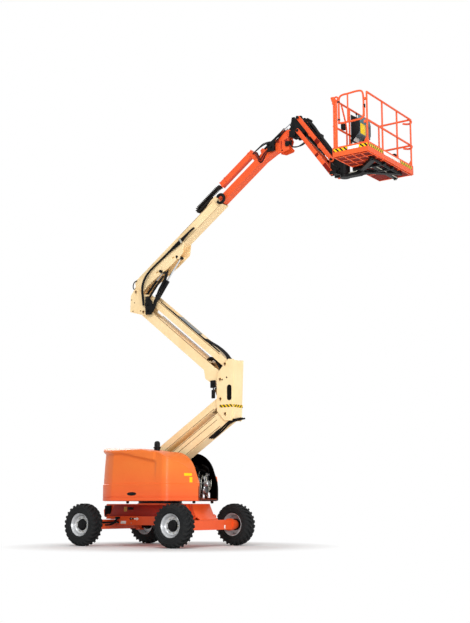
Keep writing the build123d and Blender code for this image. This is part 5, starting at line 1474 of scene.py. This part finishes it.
y, x, tapeMm = platformLook["near"], platformLook["front"], platformLook["tapeMm"]
sideTape = [addBox((a, y - thick, low), (b, y, high), 0) for a, b in platformLook["sideTapes"]]
dress(joinAll("sideStripes", sideTape), "platform", makeStripes("sideTape", (1, 0, 1), tapeMm))
frontTape = [addBox((x, a, low), (x + thick, b, high), 0) for a, b in platformLook["frontTapes"]]
dress(joinAll("frontStripes", frontTape), "platform", makeStripes("frontTape", (0, 1, 1), tapeMm))
farTape = [addBox((4.69, -y, low), (5.35, -y + thick, high), 0)]
dress(joinAll("farStripes", farTape), "platform", bpy.data.materials["sideTape"])
plates = [addBox((4.965, y - 0.0014, low + 0.004), (5.19, y, high - 0.002), 0.0004),
          addBox((x, -0.31, low), (x + thick, 0.34, high), 0.0004)]
trim("blankPlates", plates, "platform", "whiteVinyl")

gateLook = {
    "y": -0.891, "tube": 0.018,
    "loop": [(4.90, 7.665), (5.18, 7.662), (5.275, 7.675), (5.297, 7.76), (5.297, 7.95), (5.292, 8.12),
             (5.262, 8.20), (5.15, 8.212), (4.98, 8.20), (4.86, 8.205), (4.795, 8.17), (4.785, 8.06),
             (4.785, 7.86), (4.785, 7.70), (4.80, 7.665), (4.92, 7.662)],
    # x, low z, high z, radius
    "uprights": [(4.785, 7.66, 8.17, 0.019), (4.97, 7.665, 8.205, 0.015), (5.297, 7.70, 7.90, 0.021)],
    "bushes": [(4.785, 7.72, 7.75, 0.023), (4.785, 8.06, 8.09, 0.023)]}
gateY = gateLook["y"]


def gatePosts(rows):
    return [addRod((x, gateY, low), (x, gateY, high), radius, 20, 0.002) for x, low, high, radius in rows]


gate = [addHose(atY(gateLook["loop"], gateY), gateLook["tube"])] + gatePosts(gateLook["uprights"])
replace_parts(trim("gateModel", gate, "platform_gate", "orangePowderCoat"), "platform_gate")
latch = addBox((5.30, gateY - 0.018, 7.86), (5.325, gateY + 0.018, 7.93), 0.004)
trim("gateFittings", gatePosts(gateLook["bushes"]) + [latch], "platform_gate", "blackPowderCoat")

railLook = {
    "railY": 0.888, "gussetHalf": 0.004, "gussetLow": 7.215, "gussetHigh": 7.33, "gussetFoot": 0.085,
    "gussetHead": 0.018,
    "funnel": ([(0, 0), (0.02, 0), (0.022, 0.04), (0.045, 0.10), (0.047, 0.125), (0.04, 0.125), (0.018, 0.05),
                (0, 0.05)], (4.675, -0.905, 8.055), "Z", 28),
    "leftPost": [((4.735, -0.888, 7.21), (4.735, -0.888, 8.13), 0.016, 20, 0.002)],
    "tubes": [(0.016, (4.679, -0.888, 8.11), (4.69, -0.888, 8.175), (4.73, -0.888, 8.195),
               (4.765, -0.888, 8.17), (4.765, -0.888, 8.10)),
              (0.016, (4.679, -0.60, 8.13), (4.70, -0.55, 7.95), (4.70, -0.46, 7.75), (4.70, -0.44, 7.5),
               (4.69, -0.44, 7.22))],
    # x and y along the bend, and how far each point lies under the rail
    "hairpin": [(5.361, 0.80, 0), (5.364, 0.875, 0), (5.366, 0.915, 0.004), (5.362, 0.928, 0.028),
                (5.345, 0.92, 0.05), (5.28, 0.905, 0.055), (5.20, 0.895, 0.03)],
    "hairpinHeights": (8.132, 7.63), "hairpinTube": 0.019}
low, high, foot, head = (railLook[key] for key in ("gussetLow", "gussetHigh", "gussetFoot", "gussetHead"))
tubes = turnings([railLook["funnel"]]) + rods(railLook["leftPost"]) + hoses(railLook["tubes"])
for y in (-railLook["railY"], railLook["railY"]):
    for x, lean in ((4.679, 1), (5.361, -1)):
        outline = [(x, low), (x + lean * foot, low), (x + lean * head, high), (x, high)]
        tubes.append(addPlate(atY(outline, y - railLook["gussetHalf"]), (0, 2 * railLook["gussetHalf"], 0),
                              0.002))
for y, lean in ((-0.891, 1), (0.891, -1)):
    outline = [(y, low), (y + lean * foot, low), (y + lean * head, high), (y, high)]
    tubes.append(addPlate([(5.357, across, z) for across, z in outline], (2 * railLook["gussetHalf"], 0, 0),
                          0.002))
for z in railLook["hairpinHeights"]:
    tubes.append(addHose([(x, y, z - under) for x, y, under in railLook["hairpin"]], railLook["hairpinTube"]))
trim("platformTubes", tubes, "platform", "orangePowderCoat")

consoleLook = {"frameInset": 0.012, "frameHalf": 0.009, "sticks": (0.12, 0.22, 0.34), "switches": 5,
               "switchPitch": 0.055, "stick": [(0, 0), (0.02, 0), (0.012, 0.012), (0.007, 0.02),
               (0.007, 0.06), (0.014, 0.07), (0.016, 0.09), (0.01, 0.105), (0, 0.105)],
               "stop": [(0, 0), (0.014, 0), (0.014, 0.014), (0.024, 0.018), (0.024, 0.028), (0.016, 0.034),
                        (0, 0.034)]}
consoleLow, consoleHigh = (Vector(corner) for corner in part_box("control_console"))
back, right, bottom, front = consoleLow.x, consoleLow.y, consoleLow.z, consoleHigh.x
wide, slopeZ = consoleHigh.y - right, consoleHigh.z - 0.085


def consoleBlock(outline, inset, edge):
    # an outline in the XZ plane carried across the console, short of both its sides
    return addPlate(atY(outline, right + inset), (0, wide - 2 * inset, 0), edge)


body = consoleBlock([(back, bottom + 0.10), (front, bottom + 0.10), (front, slopeZ - 0.05),
                     (back, slopeZ + 0.06)], 0.03, 0.012)
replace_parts(trim("consoleModel", [body], "platform", "greyConsole"), "control_console")
lid = consoleBlock([(back + 0.004, slopeZ + 0.06), (front + 0.004, slopeZ - 0.045),
                    (front + 0.004, slopeZ - 0.02), (back + 0.004, slopeZ + 0.085)], 0.035, 0.01)
cover = consoleBlock([(front - 0.02, slopeZ - 0.10), (front + 0.006, slopeZ - 0.10),
                      (front + 0.012, slopeZ - 0.06), (front - 0.016, slopeZ + 0.055),
                      (front - 0.05, slopeZ + 0.055)], 0.02, 0.008)
trim("consoleLid", [lid, cover], "platform", "tealLid")
inset, half = consoleLook["frameInset"], consoleLook["frameHalf"]
outline = [(back + 0.01, bottom), (back + 0.045, bottom), (front - 0.005, bottom + 0.18),
           (front - 0.003, slopeZ - 0.03), (back + 0.01, slopeZ + 0.09)]
frameBars = [addPlate(atY(outline, y - half), (0, 2 * half, 0), 0.004)
             for y in (right + inset, consoleHigh.y - inset)]
frameBars.append(addBox((back, right + 0.01, bottom), (back + 0.05, consoleHigh.y - 0.01, bottom + 0.05),
                        0.005))
frameBars += [addLathe(consoleLook["stick"], (back + 0.07, right + across, slopeZ + 0.035), "Z", 20)
              for across in consoleLook["sticks"]]
for n in range(consoleLook["switches"]):
    y = right + 0.09 + consoleLook["switchPitch"] * n
    frameBars.append(addRod((back + 0.14, y, slopeZ), (back + 0.142, y, slopeZ + 0.028), 0.009, 12, 0.001))
trim("consoleFrame", frameBars, "platform", "blackPowderCoat")
trim("consoleStop", [addLathe(consoleLook["stop"], (back + 0.13, consoleHigh.y - 0.07, slopeZ + 0.012), "Z",
                              28)], "platform", "shadeAndPartsRed")
face = front + 0.0005
trim("consolePlate.yellow", [addBox((face, -0.275, bottom + 0.13), (face + 0.0015, -0.075, bottom + 0.335),
                                    0.0005)], "platform", "yellowVinyl")
trim("consolePlate.white", [addBox((back + 0.05, -0.28, bottom + 0.01), (back + 0.052, -0.06, bottom + 0.10),
                                   0.0005)], "platform", "whiteVinyl")

# the foot switch: low y, high y, low and high above the floor, edge
pedalLook = {"start": 5.12, "end": 5.26,
             "parts": [(0.40, 0.56, 0.003, 0.03, 0.006), (0.40, 0.42, 0.03, 0.13, 0.008),
                       (0.54, 0.56, 0.03, 0.13, 0.008), (0.40, 0.56, 0.12, 0.14, 0.008)]}
pedal = [((pedalLook["start"], near, floorHigh.z + low), (pedalLook["end"], far, floorHigh.z + high), edge)
         for near, far, low, high, edge in pedalLook["parts"]]
trim("footSwitch", boxes(pedal), "platform", "blackPowderCoat")
leadLook = {
    "leads": [(0.010, (4.70, -0.28, 7.55), (4.67, -0.30, 7.40), (4.68, -0.36, 7.28), (4.70, -0.44, 7.24),
               (4.75, -0.52, 7.10)),
              (0.012, (4.70, -0.24, 7.56), (4.66, -0.22, 7.42), (4.66, -0.26, 7.30), (4.69, -0.30, 7.15)),
              (0.007, (5.19, 0.40, 7.10), (5.10, 0.30, 7.085), (4.95, 0.15, 7.085), (4.80, 0.0, 7.085))],
    "socketBox": [((4.665, -0.62, 7.66), (4.72, -0.52, 7.78), 0.01)]}
trim("platformLeads", hoses(leadLook["leads"]) + boxes(leadLook["socketBox"]), "platform", "hoseRubber")
print("platform trim built")


# floor, light and camera
studio = {"floorSize": 80, "floorColour": "#e8e8e8", "clearFrom": 2.3, "clearTo": 3.4,
          "floorMiddle": (0.3, 0, 0), "skyStrength": 0.52, "keyEnergy": 2250, "keyPlace": (9, -15, 17),
          "keySize": 9, "fillEnergy": 880, "fillPlace": (14, -6, 2.4), "fillSize": 4.5, "rimEnergy": 700,
          "rimPlace": (-12, 8, 9), "rimSize": 7}


def seenRays(tree):
    rays = addNode(tree, "ShaderNodeLightPath")
    seen = addNode(tree, "ShaderNodeMath", {"operation": "MAXIMUM"},
                   {0: rays.outputs["Is Camera Ray"], 1: rays.outputs["Is Glossy Ray"]})
    return addNode(tree, "ShaderNodeMath", {"operation": "MAXIMUM"},
                   {0: seen.outputs[0], 1: rays.outputs["Is Transmission Ray"]}).outputs[0]


deselect()
bpy.ops.mesh.primitive_plane_add(size=studio["floorSize"])
floor = bpy.context.object
floor.name = "studioFloor"
floorPaint, tree, shader, place = newMaterial("paleFloor")
shader.inputs["Base Color"].default_value = fromHex(studio["floorColour"])
shader.inputs["Roughness"].default_value = 0.9
shader.inputs["Specular IOR Level"].default_value = 0.0
# the floor keeps its shadow close by and turns plain white further out
away = addNode(tree, "ShaderNodeVectorMath", {"operation": "DISTANCE", 1: studio["floorMiddle"]}, {0: place})
fade = addNode(tree, "ShaderNodeMapRange", {1: studio["clearFrom"], 2: studio["clearTo"]},
               {0: away.outputs["Value"]})
fadeSeen = addNode(tree, "ShaderNodeMath", {"operation": "MULTIPLY"}, {0: fade.outputs[0], 1: seenRays(tree)})
plain = addNode(tree, "ShaderNodeEmission", {"Strength": 1.0})
plain.inputs["Color"].default_value = (1, 1, 1, 1)
floorMix = addNode(tree, "ShaderNodeMixShader",
                   links={0: fadeSeen.outputs[0], 1: shader.outputs[0], 2: plain.outputs[0]})
surface = [node for node in tree.nodes if node.type == "OUTPUT_MATERIAL"][0]
tree.links.new(floorMix.outputs[0], surface.inputs["Surface"])
floor.data.materials.append(floorPaint)

world = bpy.data.worlds.new("studio")
bpy.context.scene.world = world
world.use_nodes = True
tree = world.node_tree
tree.nodes.clear()
soft = addNode(tree, "ShaderNodeBackground", {"Strength": studio["skyStrength"]})
soft.inputs["Color"].default_value = (1, 1, 1, 1)
white = addNode(tree, "ShaderNodeBackground", {"Strength": 1.0})
white.inputs["Color"].default_value = (1, 1, 1, 1)
mixed = addNode(tree, "ShaderNodeMixShader",
                links={0: seenRays(tree), 1: soft.outputs[0], 2: white.outputs[0]})
addNode(tree, "ShaderNodeOutputWorld", links={"Surface": mixed.outputs[0]})


def addLamp(name, place, size, energy, target=(0.8, 0, 3)):
    lamp = bpy.data.lights.new(name, "AREA")
    lamp.energy, lamp.size = energy, size
    holder = bpy.data.objects.new(name, lamp)
    holder.location = place
    holder.rotation_euler = (Vector(target) - Vector(place)).to_track_quat("-Z", "Y").to_euler()
    bpy.context.scene.collection.objects.link(holder)


addLamp("keyLamp", studio["keyPlace"], studio["keySize"], studio["keyEnergy"])
addLamp("fillLamp", studio["fillPlace"], studio["fillSize"], studio["fillEnergy"])
addLamp("rimLamp", studio["rimPlace"], studio["rimSize"], studio["rimEnergy"])

cameraSetup = {"place": (14.17, -17.69, 0.775), "azimuth": 34.86, "tilt": 10.08, "lens": 63.44}
cameraData = bpy.data.cameras.new("camera")
camera = bpy.data.objects.new("camera", cameraData)
bpy.context.scene.collection.objects.link(camera)
camera.location = cameraSetup["place"]
camera.rotation_euler = (math.radians(90 + cameraSetup["tilt"]), 0, math.radians(cameraSetup["azimuth"]))
cameraData.lens = cameraSetup["lens"]
cameraData.clip_end = 200
bpy.context.scene.camera = camera
bpy.context.scene.view_settings.view_transform = "Standard"
print("studio ready")
